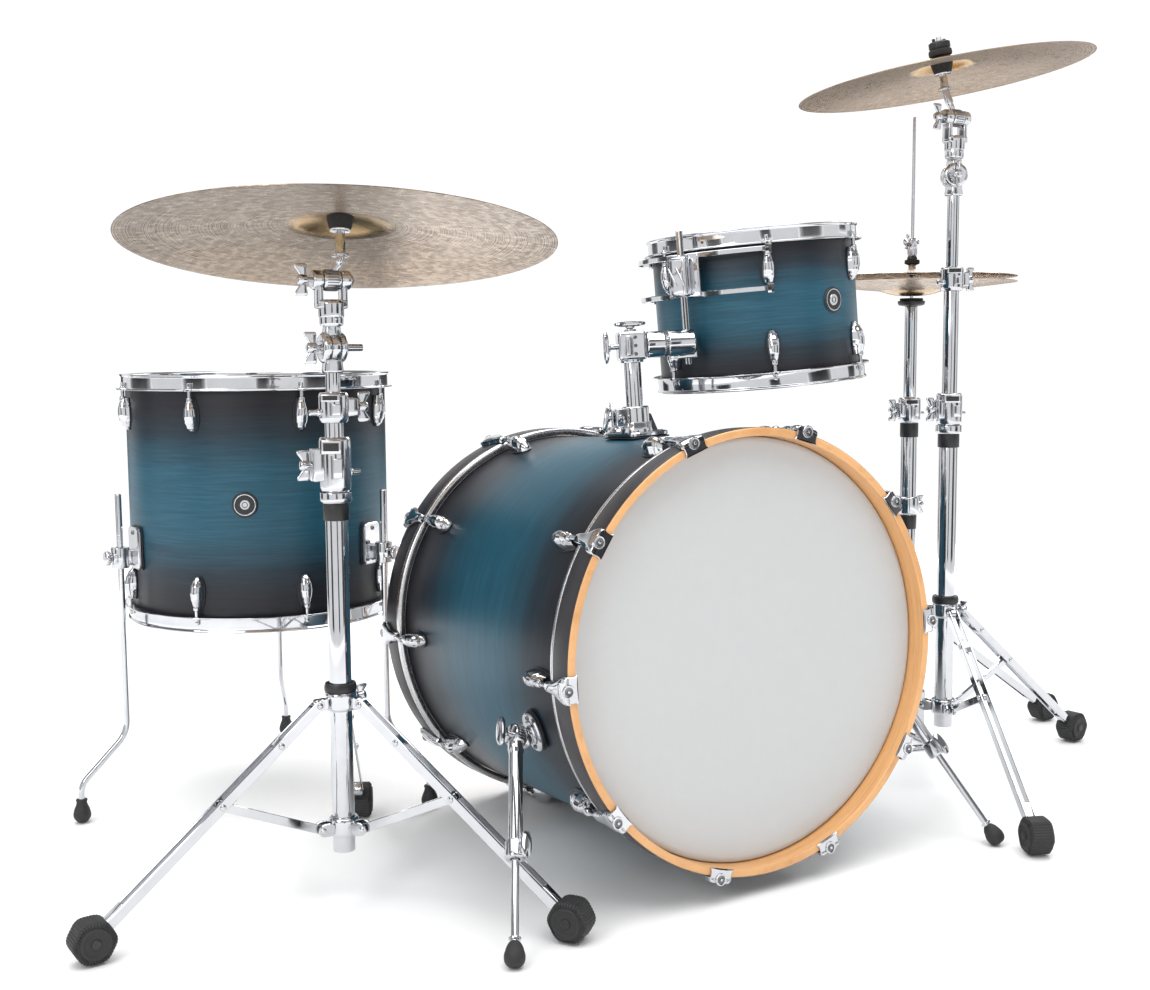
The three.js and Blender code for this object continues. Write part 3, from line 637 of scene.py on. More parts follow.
# ---- spurs -------------------------------------------------------------------------
local_bass = move(z=BASS["z"]) @ spin(-BASS["tilt"], "X") @ spin(-BASS["roll"], "Y")
spur_az = math.radians(SPUR["az"])
for label, side in (("left", -1), ("right", 1)):
    normal = (local_bass.to_3x3() @ Vector((side * math.sin(spur_az), 0, math.cos(spur_az)))).normalized()
    wall = local_bass @ Vector((side * shell_r * math.sin(spur_az), SPUR["y"], shell_r * math.cos(spur_az)))
    swivel = wall + normal * SPUR["out"]
    foot = Vector((side * SPUR["foot"][0], *SPUR["foot"][1:]))
    way = (foot - swivel).normalized()
    reach = (foot - swivel).length
    hinge = way.cross(Vector((0, -side, 0))).normalized()
    inward = 1 if hinge.dot(normal) > 0 else -1
    boss_from = swivel + hinge * (-9.6 * inward)
    boss_to = wall + normal * 5 + Vector((0, 0, -6))
    plate_at = wall + normal * 1.2 + Vector((0, 0, -6))

    p = Piece()
    base = aim(plate_at, normal, Z)
    p.plate(oval(29, 21, 40, 2.3), 0.0, 1.8, NYLON, base, 0.3)
    p.plate(oval(27.5, 19.5, 40, 2.3), 1.8, 7.6, CAST, base, 1.8)
    p.plate(oval(17, 12, 32), 7.0, 10.5, CAST, base, 1.6)
    for dx in (20.5, -20.5):
        screw(p, base @ move(x=dx, z=6.6), 3.0)
    axis_in = -hinge * inward
    p.turned([(0, 0), (13.8, 0), (13.8, 6), (12.4, 9), (0, 9)], CHROME, aim(boss_from, axis_in), 36, 1.2)
    web_from = boss_from + axis_in * 7
    p.tube([web_from, (web_from + boss_to) / 2, boss_to], 9.6, CAST, seg=20)
    p.done(f"spur_{label}_bracket", "kit", f"spur_bracket_{label}")

    p = Piece()
    turn = aim(swivel, hinge, way)
    p.turned([(0, -9), (13.4, -9), (15, -6), (15, 6), (13.4, 9), (0, 9)], CHROME, turn, 40, 1.4)
    for k in range(28):
        p.block((1.6, 1.4, 9), CAST, turn @ spin(360 * k / 28) @ move(x=14.9), 0.3)
    outer = aim(swivel, way, hinge)
    p.turned([(10.6, 8), (10.6, 20), (9, 26), (9, 164), (6, 164), (6, 8)], CHROME, outer, 32, 0.8)
    p.turned([(9, 141), (13, 143), (13, 163), (11.6, 165.4), (6.1, 165.4), (6.1, 141)], CAST, outer, 32, 1.2)
    p.block((5, 9, 20), CAST, outer @ spin(90 if side < 0 else -90) @ move(x=13.2, z=153), 1.2)
    out = (outer.to_3x3() @ Vector(Y)) * (1 if side < 0 else -1)
    oval_wing(p, aim(outer @ Vector((0, 0, 153)) + out * 10, out, way), 10, 17, 7.5)
    knob_way = hinge * inward
    p.turned([(0, 0), (4, 0), (4, 7), (7, 8), (7, 13), (0, 13.5)], CHROME,
        aim(swivel + knob_way * 8.6, knob_way), 24, 1.0)
    oval_wing(p, aim(swivel + knob_way * 14, knob_way, way), 7, 20, 8.5)
    p.done(f"spur_{label}_tube", f"spur_{label}", f"spur_tube_{label}")

    p = Piece()
    p.tube([swivel + way * 102, swivel + way * (reach - 8)], 4.8, CHROME, seg=20)
    p.turned(solid(7.6, reach - 22, reach - 19), CHROME, outer, 28, 0.6)
    p.turned(off(0, reach, (0, -18.6), (5.6, -18), (9.6, -12), (12.9, -1.5), (12.4, 6), (8.4, 11.6), (0, 13.0)),
        "rubber", outer, 32, 2.4)
    p.done(f"spur_{label}_rod", f"spur_tip_{label}", f"spur_rod_{label}")

# ---- tom holder --------------------------------------------------------------------
post_frame = WORLD @ local_bass @ move(*POST["base"])
p = Piece(post_frame)
low = shell_r + 0.6
p.plate(soft(rect(33, 43), 12, 5, True), low - 0.4, low + 1.6, NYLON, edge=0.3)
p.plate(soft(rect(31.5, 41.5), 12, 5, True), low + 1.6, low + 8.6, CAST, edge=1.8)
for sx in (-21, 21):
    for sy in (-31, 31):
        screw(p, move(sx, sy, low + 7.6), 4.0)
p.turned(off(0, low, (24, 8), (22, 16), (20, 22), (20, 43), (18.6, 45), (13.3, 45), (13.3, 8)),
         CAST, seg=44, edge=1.6)
p.block((2.4, 8, 30), DARK, move(19.4, 0, low + 29), 0.3)
for y in (-1, 1):
    p.block((22, 5, 26), CAST, move(-26, y * 6, low + 30), 1.6)
oval_wing(p, aim((-31, 7, low + 30), (-0.75, 0.55, 0.2), (0, 0.2, 1)), 9, 21, 8.5)
dome(p, aim((-30, -9, low + 30), FRONT), 5, 3.4)
for y in (-9, 9):
    rib = [(18, 6), (31, 6), (29, 12), (19, 34)]
    p.plate(soft(rib, 1.5, 2, True), y - 2.5, y + 2.5, CAST, move(z=low) @ spin(90, "X"), 0.8)
p.done("tom_mount_plate", "kit", "tom_mount_base")

p = Piece(post_frame)
p.turned(sleeve(12.2, 10.2, POST["low"], POST["head"] - 22), CHROME, seg=44, edge=0.8)
p.done("tom_post_tube", "tom_post", "tom_post")

head_at = local_bass @ Vector((*POST["base"], POST["head"]))
post_way = (local_bass.to_3x3() @ Vector(Z)).normalized()
span = Vector(ARM["at"]) - head_at
arm_way = (span - post_way * span.dot(post_way)).normalized()
tilt_at = head_at + arm_way * span.length
p = Piece(WORLD @ aim(head_at, post_way, arm_way))
p.block((40, 35, 42), CAST, None, 4.5)
p.turned(sleeve(16.5, 12.6, -24, -18), CHROME, None, 36, 0.8)
p.block((7, 37.4, 30), CAST, move(x=-6), 2.2)
for z in (-12, 0, 12):
    screw(p, aim((4, -17.2, z), FRONT), 2.6)
oval_wing(p, aim((-22, 0, 0), LEFT, Z), 12, 24, 9.5)
p.turned(solid(8.6, 20, 24), CHROME, None, 28, 0.8)
oval_wing(p, move(z=22) @ spin(8), 7, 24, 10)
p.done("tom_post_clamp", "tom_head_clamp", "tom_post_head")

tom_up = Vector(TOM["axis"]).normalized()
p = Piece()
barrel = aim(head_at + arm_way * 21.6, arm_way, tom_up)
long = (tilt_at - head_at).length + 11 - 21.6
p.turned([(0, 0), (17.6, 0), (19, 2), (19, long * 0.36), (17.4, long * 0.38), (17.4, long * 0.44),
    (19, long * 0.46), (19, long - 3), (16.6, long), (0, long)], CHROME, barrel, 48, 0.9)
for k in range(36):
    p.block((1.3, 1.6, long * 0.06), DARK, barrel @ spin(10 * k) @ move(x=17.6, z=long * 0.41), 0.2)
p.block((30, 12, 12), CAST, aim(tilt_at - arm_way * 2, tom_up, arm_way) @ move(z=-17), 2)
rod_low, rod_top = tilt_at - tom_up * 32, tilt_at + tom_up * (ARM["top"] - ARM["at"][2])
hexagon = [polar(5.7, 60 * k).xy for k in range(6)]
rod_at = aim(rod_low, tom_up)
p.plate(soft(hexagon, 0.8, 2, True), 0, (rod_top - rod_low).length, CHROME, rod_at, 0.8)
dome(p, aim(tilt_at + arm_way * 10.6, arm_way), 8, 4)
p.done("tom_arm_rod", "tom_arm", "tom_arm")


# ---- toms --------------------------------------------------------------------------
TOM_LUG = 49


def tom_drum(d, name, place, body, lacquer_name, badge_az, badge_z, badge_disc):
    """Shell, heads, hoops, lugs, rods, gaskets and badge of a tom."""
    r, h = d["r"], d["half"]
    step = 360 / d["lugs"]
    p = Piece(place)
    p.turned([(r, 2 - h), (r, h - 2), (r - 2.5, h), (r - 6, h - 4), (r - 6, 4 - h), (r - 2.5, -h)],
        lacquer_name, seg=144, edge=1.0)
    p.done(f"{name}_shell_wood", body, f"{name}_shell", slot="lacquer")
    p = Piece(place)
    badge = aim(polar(r - 0.2, badge_az, badge_z), polar(1, badge_az), Z)
    p.lathe(soft([(0, 2.0), (15.6, 2.0), (18.0, 2.0), (19.2, 0.2), (0, 0.2)], 0.6), NYLON, badge, 56)
    p.lathe(soft(sleeve(16.0, 14.6, 1.8, 2.7), 0.3, 2, True), CHROME, badge, 56)
    p.lathe([(0, 2.5), (badge_disc - 0.6, 2.5), (badge_disc, 1.8), (0, 1.8)], CAST, badge, 48)
    p.lathe(soft(sleeve(4.4, 3.4, 2.3, 3.0), 0.3, 2, True), NYLON, badge, 24)
    p.done(f"{name}_badge", body)
    for label, flip in (("top", 1), ("bottom", -1)):
        at_side = place if flip > 0 else place @ spin(180, "X")
        p = Piece(at_side)
        p.lathe(soft([(0, h + 1.4), (r - 3, h + 1.4), (r + 1.4, h - 0.4), (r + 2.6, h - 4), (r + 2.6, h - 8),
            (r + 0.5, h - 8), (r + 0.5, h - 2), (r - 3, h + 0.4), (0, h + 0.4)], 1.6), "film", seg=144)
        p.done(f"{name}_{label}_film", body, f"{name}_{label}_head", slot="head_film")
        p = Piece(at_side)
        inner = r + 3.1
        hoop = soft(off(inner, h, (0, -10), (9.8, -10), (9.8, -7.7), (2.6, -7.6), (2.2, 9.5), (4.8, 12.2),
            (4.2, 14.4), (0, 12)), 1.0, 3, True)
        p.lathe(hoop, CHROME, seg=144)
        for k in range(d["lugs"]):
            p.plate(soft([(-5, -11), (6.2, -6), (6.2, 6), (-5, 11)], 3, 3, True), h - 10.3, h - 7.2,
                    CHROME, spin(step * k) @ move(x=r + 8.6), 0.5)
        p.done(f"{name}_{label}_hoop", body, f"{name}_{label}_rim")
        rods, lugs, pads = Piece(at_side), Piece(at_side), Piece(at_side)
        for k in range(d["lugs"]):
            at = spin(step * k)
            rods.tube([(r + 8.5, 0, h - 42), (r + 8.5, 0, h - 6)], 2.7, CHROME, at, 14)
            key_head(rods, at @ move(x=r + 8.5, z=h - 7.2), 5.4, 9)
            lug(lugs, at @ move(x=r + 0.5, z=h - 22 - TOM_LUG), TOM_LUG, 20.5, 16.0)
            lugs.turned(off(0, h, (0, -27), (4.8, -27), (4.8, -20.6), (3.2, -19.4), (0, -19.4)), CHROME,
                at @ move(x=r + 8.5), 20, 0.7)
            lug_gasket(pads, at @ move(x=r + 0.1, z=h - 22 - TOM_LUG), TOM_LUG, 20.5)
        rods.done(f"{name}_{label}_rods", body, f"{name}_{label}_rim")
        lugs.done(f"{name}_{label}_lugs", body, f"{name}_{label}_rim")
        pads.done(f"{name}_{label}_gaskets", body, f"{name}_{label}_rim", slot="black_plastic")


tom_place = aim(TOM["at"], tom_up)
tom_drum(TOM, "tom", WORLD @ tom_place, "tom", "lacquer_tom", -80.6, 4, 8.5)
tom_local = tom_place.inverted()

rod_in = tom_local @ rod_top
rod_az, rod_r = math.degrees(math.atan2(rod_in.y, rod_in.x)), math.hypot(rod_in.x, rod_in.y)
p = Piece(WORLD @ tom_place)
STRAP_BANDS, STRAP_ENDS = ((24.4, 31.6), (80.4, 87.6)), (118.5, 241.5)
for low_z, high_z in STRAP_BANDS:
    rings = []
    for k in range(49):
        a = STRAP_ENDS[0] + (STRAP_ENDS[1] - STRAP_ENDS[0]) * k / 48
        rings.append([polar(TOM["r"] + out, a, z) for out, z in (
            (19.1, low_z + 0.6), (19.1, high_z - 0.6), (19.7, high_z), (21.4, high_z),
            (22, high_z - 0.6), (22, low_z + 0.6), (21.4, low_z), (19.7, low_z))])
    p.rings(rings, CHROME)
    for end in (120.0, 240.0):
        p.turned(solid(5.2, low_z - 3, low_z + 10.4), CHROME,
                 spin(end) @ move(x=TOM["r"] + 20.6), 6, 0.8)
p.block((4.6, 56, 62), CHROME, spin(rod_az) @ move(x=TOM["r"] + 21.6, z=56), 1.8)
p.done("tom_strap", "tom", "tom_bracket")
p = Piece(WORLD @ tom_place)
cast = spin(rod_az) @ move(z=55)
near, far_x = TOM["r"] + 23.6, rod_r + 13
p.block((far_x - near, 29, 57), CAST, cast @ move(x=(near + far_x) / 2), 4.2)
p.block((2.2, 22, 48), CHROME, cast @ move(x=far_x + 0.3), 0.9)
for slant in (-7, 7):
    p.block((1.8, 3.2, 30), CAST, cast @ move(x=far_x + 1.3, y=slant) @ spin(28, "X"), 0.8)
p.turned(solid(6.6, 0, 5), CHROME, cast @ aim((rod_r, -14.4, -8), FRONT), 6, 0.8)
key_head(p, cast @ aim((rod_r, -18.8, -8), FRONT), 5.4, 8)
p.turned(sleeve(11, 6.6, 22, 30.5), CAST, cast @ move(x=rod_r), 32, 1.0)
p.done("tom_bracket_cast", "tom", "tom_bracket")

floor_place = WORLD @ aim(FLOOR["at"], Z)
tom_drum(FLOOR, "floor_tom", floor_place, "kit", "lacquer_floor", -113.9, 0, 7.5)
leg_r, leg_z = FLOOR["r"] + 28, 402 - FLOOR["at"][2]
for k, az in enumerate(FLOOR["leg_az"]):
    p = Piece(floor_place)
    at = spin(az) @ move(z=leg_z)
    wall_at = at @ aim((FLOOR["r"] + 0.2, 0, 13), X, Y)
    p.plate(soft(rect(23, 34), 9, 5, True), -0.3, 1.6, NYLON, wall_at, 0.3)
    p.plate(soft(rect(21.6, 32.4), 9, 5, True), 1.6, 7.4, CAST, wall_at, 1.6)
    for y in (-24, 24):
        screw(p, wall_at @ move(y=y, z=6.4), 3.4)
    p.block((22, 19, 23), CAST, at @ move(x=FLOOR["r"] + 15), 2.4)
    p.turned(sleeve(13.6, 6.0, -16, 16), CAST, at @ move(x=leg_r), 36, 1.8)
    p.block((14, 24, 15), CAST, at @ move(x=leg_r + 7), 2.2)
    knob = at @ aim((leg_r + 12, 0, 0), X, Z)
    p.turned([(0, 0), (4, 0), (4, 3.5), (10.4, 4.5), (11, 6), (11, 10.4), (9.4, 12), (0, 12)], CHROME, knob, 36,
        1.0)
    for m in range(18):
        p.block((1.6, 1.7, 5.4), CHROME, knob @ spin(20 * m) @ move(x=10.6, z=8.2), 0.5)
    p.done(f"floor_tom_leg_bracket_{k + 1}", "kit", "floor_tom_shell")

    p = Piece(WORLD @ move(FLOOR["at"][0], FLOOR["at"][1], 0))
    path = soft([polar(r, az, z) for r, z in ((leg_r, 498), (leg_r, 128), (FLOOR["foot_r"], 58),
        (FLOOR["foot_r"], 26))], 22, 8)
    p.tube(path, 4.8, CHROME, seg=20)
    dome(p, move(*polar(leg_r, az, 498)), 4.8, 2.2)
    for m in range(22):
        p.turned([(4.6, 0), (5.15, 0.8), (4.6, 1.6)], CHROME, move(*polar(leg_r, az, 352 + 4 * m)), 16, 0.2)
    foot_pear(p, move(*polar(FLOOR["foot_r"], az, 0)))
    p.done(f"floor_tom_leg_rod_{k + 1}", f"floor_tom_leg_{k + 1}", f"floor_tom_leg_{k + 1}")


# ---- cymbals and stands ------------------------------------------------------------
HOLE_R, BELL_FOOT = 7, 0.58  # cymbal's hole, and the bow's share of its rise
WHEEL_R, WHEEL_HALF = 26.3, 17.0


def cymbal_shape(p, c, mat):
    """Bowed disc with a domed bell: z = 0 at the rim."""
    r, rise, edge = c["r"], c["rise"], c["bell"] * 0.92
    foot = BELL_FOOT * rise
    top = []
    for k in range(9):
        t = k / 8
        top.append((HOLE_R + (edge - HOLE_R) * t, foot + (rise - foot) * (1 - t ** 2.3)))
    for k in range(1, 23):
        t = k / 22
        top.append((edge + (r - edge) * t, foot * (1 - t ** 1.12)))
    under = [(x, z - (1.0 if x > r * 0.97 else 1.4)) for x, z in top[::-1]]
    p.lathe(top + under, mat, seg=160)


def wheel_foot(p, at):
    """Ribbed rubber foot about Y of `at`, like a hexagon with round corners."""
    outline = []
    for k in range(168):
        a = 2 * math.pi * k / 168
        r = WHEEL_R - 0.75 * (1 - math.cos(6 * a)) + 0.42 * math.tanh(4 * math.sin(42 * a))
        outline.append(Vector((r * math.cos(a), r * math.sin(a))))
    side = at @ move(-3.6, 0, 3.6) @ spin(90, "X")
    p.plate(outline, -WHEEL_HALF, WHEEL_HALF, "rubber", side, 3.4)
    for flip in (0, 180):
        p.lathe(soft([(0, 17.6), (14, 17.6), (15, 18.6), (18.4, 18.6), (19.4, 16.8), (0, 16.8)], 0.6), "rubber",
            side @ spin(flip, "X"), 48)
        p.lathe(soft([(0, 19.4), (5.4, 19.4), (6.2, 18.4), (6.2, 17.4), (0, 17.4)], 0.5), NYLON,
            side @ spin(flip, "X"), 32)


def bar_plate(p, start, end, width, thick, y, before=6.0, after=6.0):
    """Flat bar in a leg's own plane, with round ends."""
    a, b = Vector((start[0], 0, start[1])), Vector((end[0], 0, end[1]))
    run = (b - a).normalized()
    m = Matrix((run, -run.cross(Vector(Y)), Vector(Y))).transposed().to_4x4()
    m.translation = a
    p.plate(stadium((b - a).length + before + after, width, -before), y - thick / 2, y + thick / 2, CHROME, m,
        0.7)
    return m


def tripod_leg(place, top, foot, name, body, node, pin_at=None):
    """Two straps with pins, a bridge and a ribbed foot."""
    p = Piece(place)
    for y in (6.6, -6.6):
        m = bar_plate(p, top, foot, 13.6, 2.9, y, 6.5, 2)
    run = (Vector((foot[0], 0, foot[1])) - Vector((top[0], 0, top[1]))).length
    p.block((13, 12, 13.4), CAST, m @ move(x=69) @ spin(180, "X"), 1.4)
    for place_x in (0, 69, *([pin_at] if pin_at else [])):
        for flip in (0, 180):
            dome(p, m @ move(x=place_x) @ spin(flip, "X") @ move(z=8.0), 4.2, 2.4)
    p.block((40, 15.6, 12.2), CAST, m @ move(x=run - 36), 1.6)
    wheel_foot(p, move(foot[0], 0, foot[1]))
    p.done(name, body, node)


def memory_clamp(p, low_z, high_z, r, bore, wing_az):
    """Cast clamp round a tube: label block without a mark, slit, hinge pins, wing bolt and key bolt."""
    mid, tall = (low_z + high_z) / 2, high_z - low_z
    p.turned([(r - 2.6, low_z), (r - 0.6, low_z + 5), (r, low_z + tall * 0.5), (r, high_z - 4),
        (r - 2.4, high_z), (bore, high_z), (bore, low_z)], CAST, None, 44, 1.4)
    face = spin(-122)
    p.block((5, r * 1.25, tall * 0.26), CAST, face @ move(x=r - 0.6, z=high_z - tall * 0.17), 1.4)
    p.block((1.2, r * 0.98, tall * 0.15), NYLON, face @ move(x=r + 1.7, z=high_z - tall * 0.17), 0.4)
    p.block((2.4, 2.4, tall * 0.42), DARK, face @ move(x=r - 0.8, z=mid - tall * 0.04), 0.3)
    p.block((3.4, r * 0.55, tall * 0.36), CAST, face @ move(x=r - 1.0, y=r * 0.38, z=mid - tall * 0.06), 0.9)
    p.lathe([(0, 0.9), (1.9, 0.7), (2.1, 0), (0, 0)], DARK, face @ aim((r - 1.6, 0, low_z + tall * 0.18), X),
        16)
    at = spin(wing_az)
    for y in (-5.2, 5.2):
        p.block((15, 8.2, tall * 0.6), CAST, at @ move(x=r + 3.5, y=y, z=mid), 2.0)
    wing(p, at @ aim((r + 9, 0, mid), X, Z), 10, 19)
    other = spin(wing_az + 180)
    p.turned([(0, 0), (4.8, 0), (4.8, 4), (3.8, 5), (3.8, 15), (0, 16)], CHROME,
        other @ aim((r - 2, 0, mid - tall * 0.16), X), 22, 0.8)


def stand(s):
    name, tube, collar, footing = s["name"], s["tube"], s["collar"], s["footing"]
    centre = WORLD @ move(*s["at"], 0)
    pin = tube + 18
    top, foot, base = (pin, collar - 12), (s["reach"] - 20, 24), (pin, footing)
    down = Vector(foot) - Vector(top)
    elbow = Vector(top) + down.normalized() * 170

    p = Piece(centre)
    p.turned(sleeve(tube, tube - 1.5, footing - 33, s["top"] - 34), CHROME, None, 44, 0.5)
    p.lathe(soft(solid(tube - 1.7, footing - 33.6, footing - 28), 0.5), NYLON, None, 36)
    p.turned(sleeve(tube + 2.2, tube - 1.5, s["top"] - 36, s["top"] - 14), NYLON, None, 44, 0.8)
    p.turned(off(tube, s["top"], (3.5, -14), (5.9, -11), (5.9, -0.2), (-1.5, -0.2), (-1.5, -14)), CAST, None,
        44, 0.9)
    p.turned(off(tube, footing, (3.4, -12), (5, -9), (5, 9), (3.4, 12), (-0.5, 12), (-0.5, -12)), CAST, None,
        44, 1.2)
    for az in s["leg_az"]:
        at = spin(az)
        for y in (7, -7):
            m = at @ move(x=pin, y=y, z=footing) @ spin(90, "X")
            p.plate(stadium(24, 17, -17.6), -1.9, 1.9, CAST, m, 0.8)
        for flip in (0, 180):
            dome(p, at @ move(x=pin, z=footing) @ spin(90 + flip, "X") @ move(z=8.8), 4.0, 2.2)
    p.done(f"{name}_lower_tube", "kit", f"{name}_base_tube")

    p = Piece(centre)
    p.turned(off(tube, collar, (4.4, -22), (6, -19), (6, -1), (4.6, 2), (0.7, 2), (0.7, -22)), CAST, None, 44,
        1.2)
    p.turned(off(tube, collar, (6.3, 2.2), (6.6, 8), (5.2, 13.6), (0.7, 13.6), (0.7, 2.2)),
             NYLON, None, 44, 1.2)
    for az in s["leg_az"]:
        m = spin(az) @ move(x=pin, z=top[1]) @ spin(90, "X")
        p.plate(stadium(25, 15, -17.5), -4.4, 4.4, CAST, m, 1.0)
    free = s["leg_az"][1] + 60
    wing(p, spin(free) @ aim((tube + 4.5, 0, collar - 8), X, Z), 9, 15, 0.85)
    p.done(f"{name}_collar", f"{name}_collar", f"{name}_leg_collar")

    for k, az in enumerate(s["leg_az"], 1):
        tripod_leg(centre @ spin(az), top, foot, f"{name}_tripod_leg_{k}", f"{name}_leg_{k}", f"{name}_leg_{k}",
            170)
        p = Piece(centre @ spin(az))
        bar_plate(p, base, tuple(elbow), 11.6, 5.6, 0, 6, 4.5)
        p.done(f"{name}_tripod_brace_{k}", f"{name}_brace_{k}", f"{name}_brace_{k}")

    low_z, high_z, step, neck_top = s["neck"]
    r_in, r_up = s["neck_r"]
    boom, pivot = s["boom"], s["pivot"]
    p = Piece(centre)
    p.turned(sleeve(r_in - 0.3, r_in - 1.8, low_z - 149, step - 16), CHROME, None, 40, 0.5)
    p.turned(sleeve(r_up, r_up - 1.6, step, neck_top - 24), CHROME, None, 40, 0.5)
    memory_clamp(p, low_z + 0.5, high_z, tube + 5.9, r_in - 0.2, 180)
    memory_clamp(p, step - 16, step + 22, r_in + 6.8, r_up - 0.2, 0)
    p.done(f"{name}_height_clamps", f"{name}_upper", f"{name}_upper_tube")

    p = Piece(centre)
    disc = spin(s["boom_az"]) @ aim((0, 0, boom), X, Z)
    p.turned([(0, -16), (16, -16), (19.4, -12.5), (19.4, -6.4), (0, -6.4)], CAST, disc, 48, 1.6)
    p.turned([(0, -5.4), (18.2, -5.4), (18.8, 0), (18.2, 5.4), (0, 5.4)], CHROME, disc, 48, 1.2)
    p.turned([(0, 6.4), (19.4, 6.4), (19.4, 12.5), (16, 16), (0, 16)], CAST, disc, 48, 1.6)
    for k in range(36):
        for x in (-5.9, 5.9):
            p.block((2.4, 1.7, 1.6), DARK, disc @ spin(10 * k) @ move(x=17.2, z=x), 0.2)
    for k in range(5):
        p.block((2.2, 22 - 3 * abs(k - 2), 1.4), CHROME, disc @ move(x=-8 + 4 * k, z=-16.2), 0.5)
    p.turned([(0, 15), (6.8, 15), (6.8, 19), (4.6, 20), (4.6, 40), (0, 41)], CHROME, disc, 26, 0.9)
    wing(p, disc @ spin(180, "X") @ move(z=14), 12, 20)
    p.block((24, 22, 22), CAST, move(z=boom - 21), 3.6, 0.86)
    p.block((22, 20, 18), CAST, move(z=boom + 20), 3.4, 0.84)
    p.turned(off(r_up, boom, (4.6, 27), (5.4, 31), (5.4, 40), (4, 44), (-0.2, 44), (-0.2, 27)), CAST, None, 36,
        1.0)
    wing_z = boom + 36
    dome(p, aim((0, -r_up - 5, wing_z), FRONT), 2.4, 3.0)
    p.done(f"{name}_boom_tilter", f"{name}_upper", f"{name}_upper_tube")

    p = Piece(centre)
    p.turned(off(r_up, neck_top, (-0.2, -26), (6.4, -24), (6.8, -6), (4, -2), (-0.2, -2)),
             CAST, None, 40, 1.4)
    p.block((39, 20, 11), CAST, move(z=neck_top - 8), 2.6)
    for way in (-1, 1):
        p.block((7.4, 17, pivot - neck_top + 12), CAST, move(way * 16, 0, (pivot + neck_top - 8) / 2), 2.0)
        p.turned([(0, 0), (11.6, 0), (12.4, 2), (12.4, 11), (10.6, 13.4), (0, 13.4)], CAST,
            aim((way * 12, 0, pivot), (way, 0, 0)), 44, 1.2)
    wing(p, aim((-24, 0, pivot), LEFT, Z), 12, 20)
    p.turned([(0, 0), (7.4, 0), (7.4, 4), (4, 6), (0, 6)], CHROME, aim((24.5, 0, pivot), X), 6, 0.9)
    p.done(f"{name}_yoke", f"{name}_upper", f"{name}_upper_tube")

    c = s["cymbal"]
    up = Vector(c["axis"]).normalized()
    seat = Vector(c["at"])
    hinge_at = Vector((*s["at"], pivot))
    stem_foot = seat + up * -16
    bell_top = seat + up * c["rise"]
    p = Piece(WORLD @ aim(hinge_at, X, Z))
    p.turned([(0, -11.2), (12, -11.2), (13, -9), (13, 9), (12, 11.2), (0, 11.2)], CAST, None, 40, 0.9)
    for k in range(24):
        p.block((1.8, 1.4, 15), DARK, spin(15 * k) @ move(x=12.8), 0.3)
    p.done(f"{name}_tilter_barrel", f"{name}_tilter", f"{name}_tilter")

    stem = stem_foot - hinge_at
    p = Piece(WORLD @ aim(hinge_at, stem))
    long = stem.length
    p.turned([(0, 8), (5.0, 8), (5.0, 22), (6.2, 25), (6.2, long + 1), (0, long + 1)], CHROME, None, 32, 1.0)
    p.done(f"{name}_stem", f"{name}_tilter", f"{name}_tilter")

    on_axis = WORLD @ aim(stem_foot, up)
    length = (bell_top - stem_foot).length
    p = Piece(on_axis)
    p.turned([(0, -0.5), (10.6, -0.5), (10.6, 2.6), (6.6, 4), (6.3, length - 24), (0, length - 24)], CHROME,
        None, 32, 0.8)
    p.tube([(0, 0, 2), (0, 0, length + 32.6)], 3.9, CHROME, None, 20)
    for k in range(5):
        p.turned([(3.8, 0), (4.3, 0.8), (3.8, 1.6)], CHROME, move(z=length + 25.4 + 1.3 * k), 18, 0.1)
    p.turned(off(0, length, (0, -26.5), (13, -26.5), (13.6, -24.2), (0, -24.2)), CHROME, None, 36, 0.6)
    p.done(f"{name}_seat_stem", f"{name}_tilter", f"{name}_tilter")
    p = Piece(on_axis)
    p.turned(off(0, length, (0, -24), (13.6, -24), (16.8, -12), (17.4, -7.4), (14, -6), (0, -3.4)),
             "felt", None, 44, 1.6)
    p.turned(solid(5.9, length - 6.0, length + 4), NYLON, None, 28, 0.6)
    p.turned(off(0, length, (0, 2.7), (18, 2.7), (18.4, 8), (17.6, 12.6), (0, 12.6)), "felt", None, 44, 2.0)
    p.done(f"{name}_felts", f"{name}_tilter", f"{name}_tilter", slot="felt")
    p = Piece(on_axis)
    p.turned(off(0, length, (4.2, 12.8), (15.6, 12.8), (16.2, 16), (15.8, 23), (13.8, 25), (4.2, 25)),
             NYLON, None, 44, 1.2)
    for k in range(20):
        p.block((1.6, 2.4, 8.6), NYLON, spin(18 * k) @ move(x=15.9, z=length + 19), 0.5)
    for way in (1, -1):
        p.block((5.4, 3.4, 7), NYLON, move(way * 11.5, 0, length + 26), 1.2)
    p.done(f"{name}_wing_nut", f"{name}_tilter", f"{name}_tilter", slot="black_plastic")

    p = Piece(WORLD @ aim(seat, up))
    cymbal_shape(p, c, f"bronze_{name}")
    p.done(f"{name}_cymbal_disc", f"{name}_cymbal", f"{name}_cymbal", slot="bronze")


stand(RIDE)
stand(CRASH)

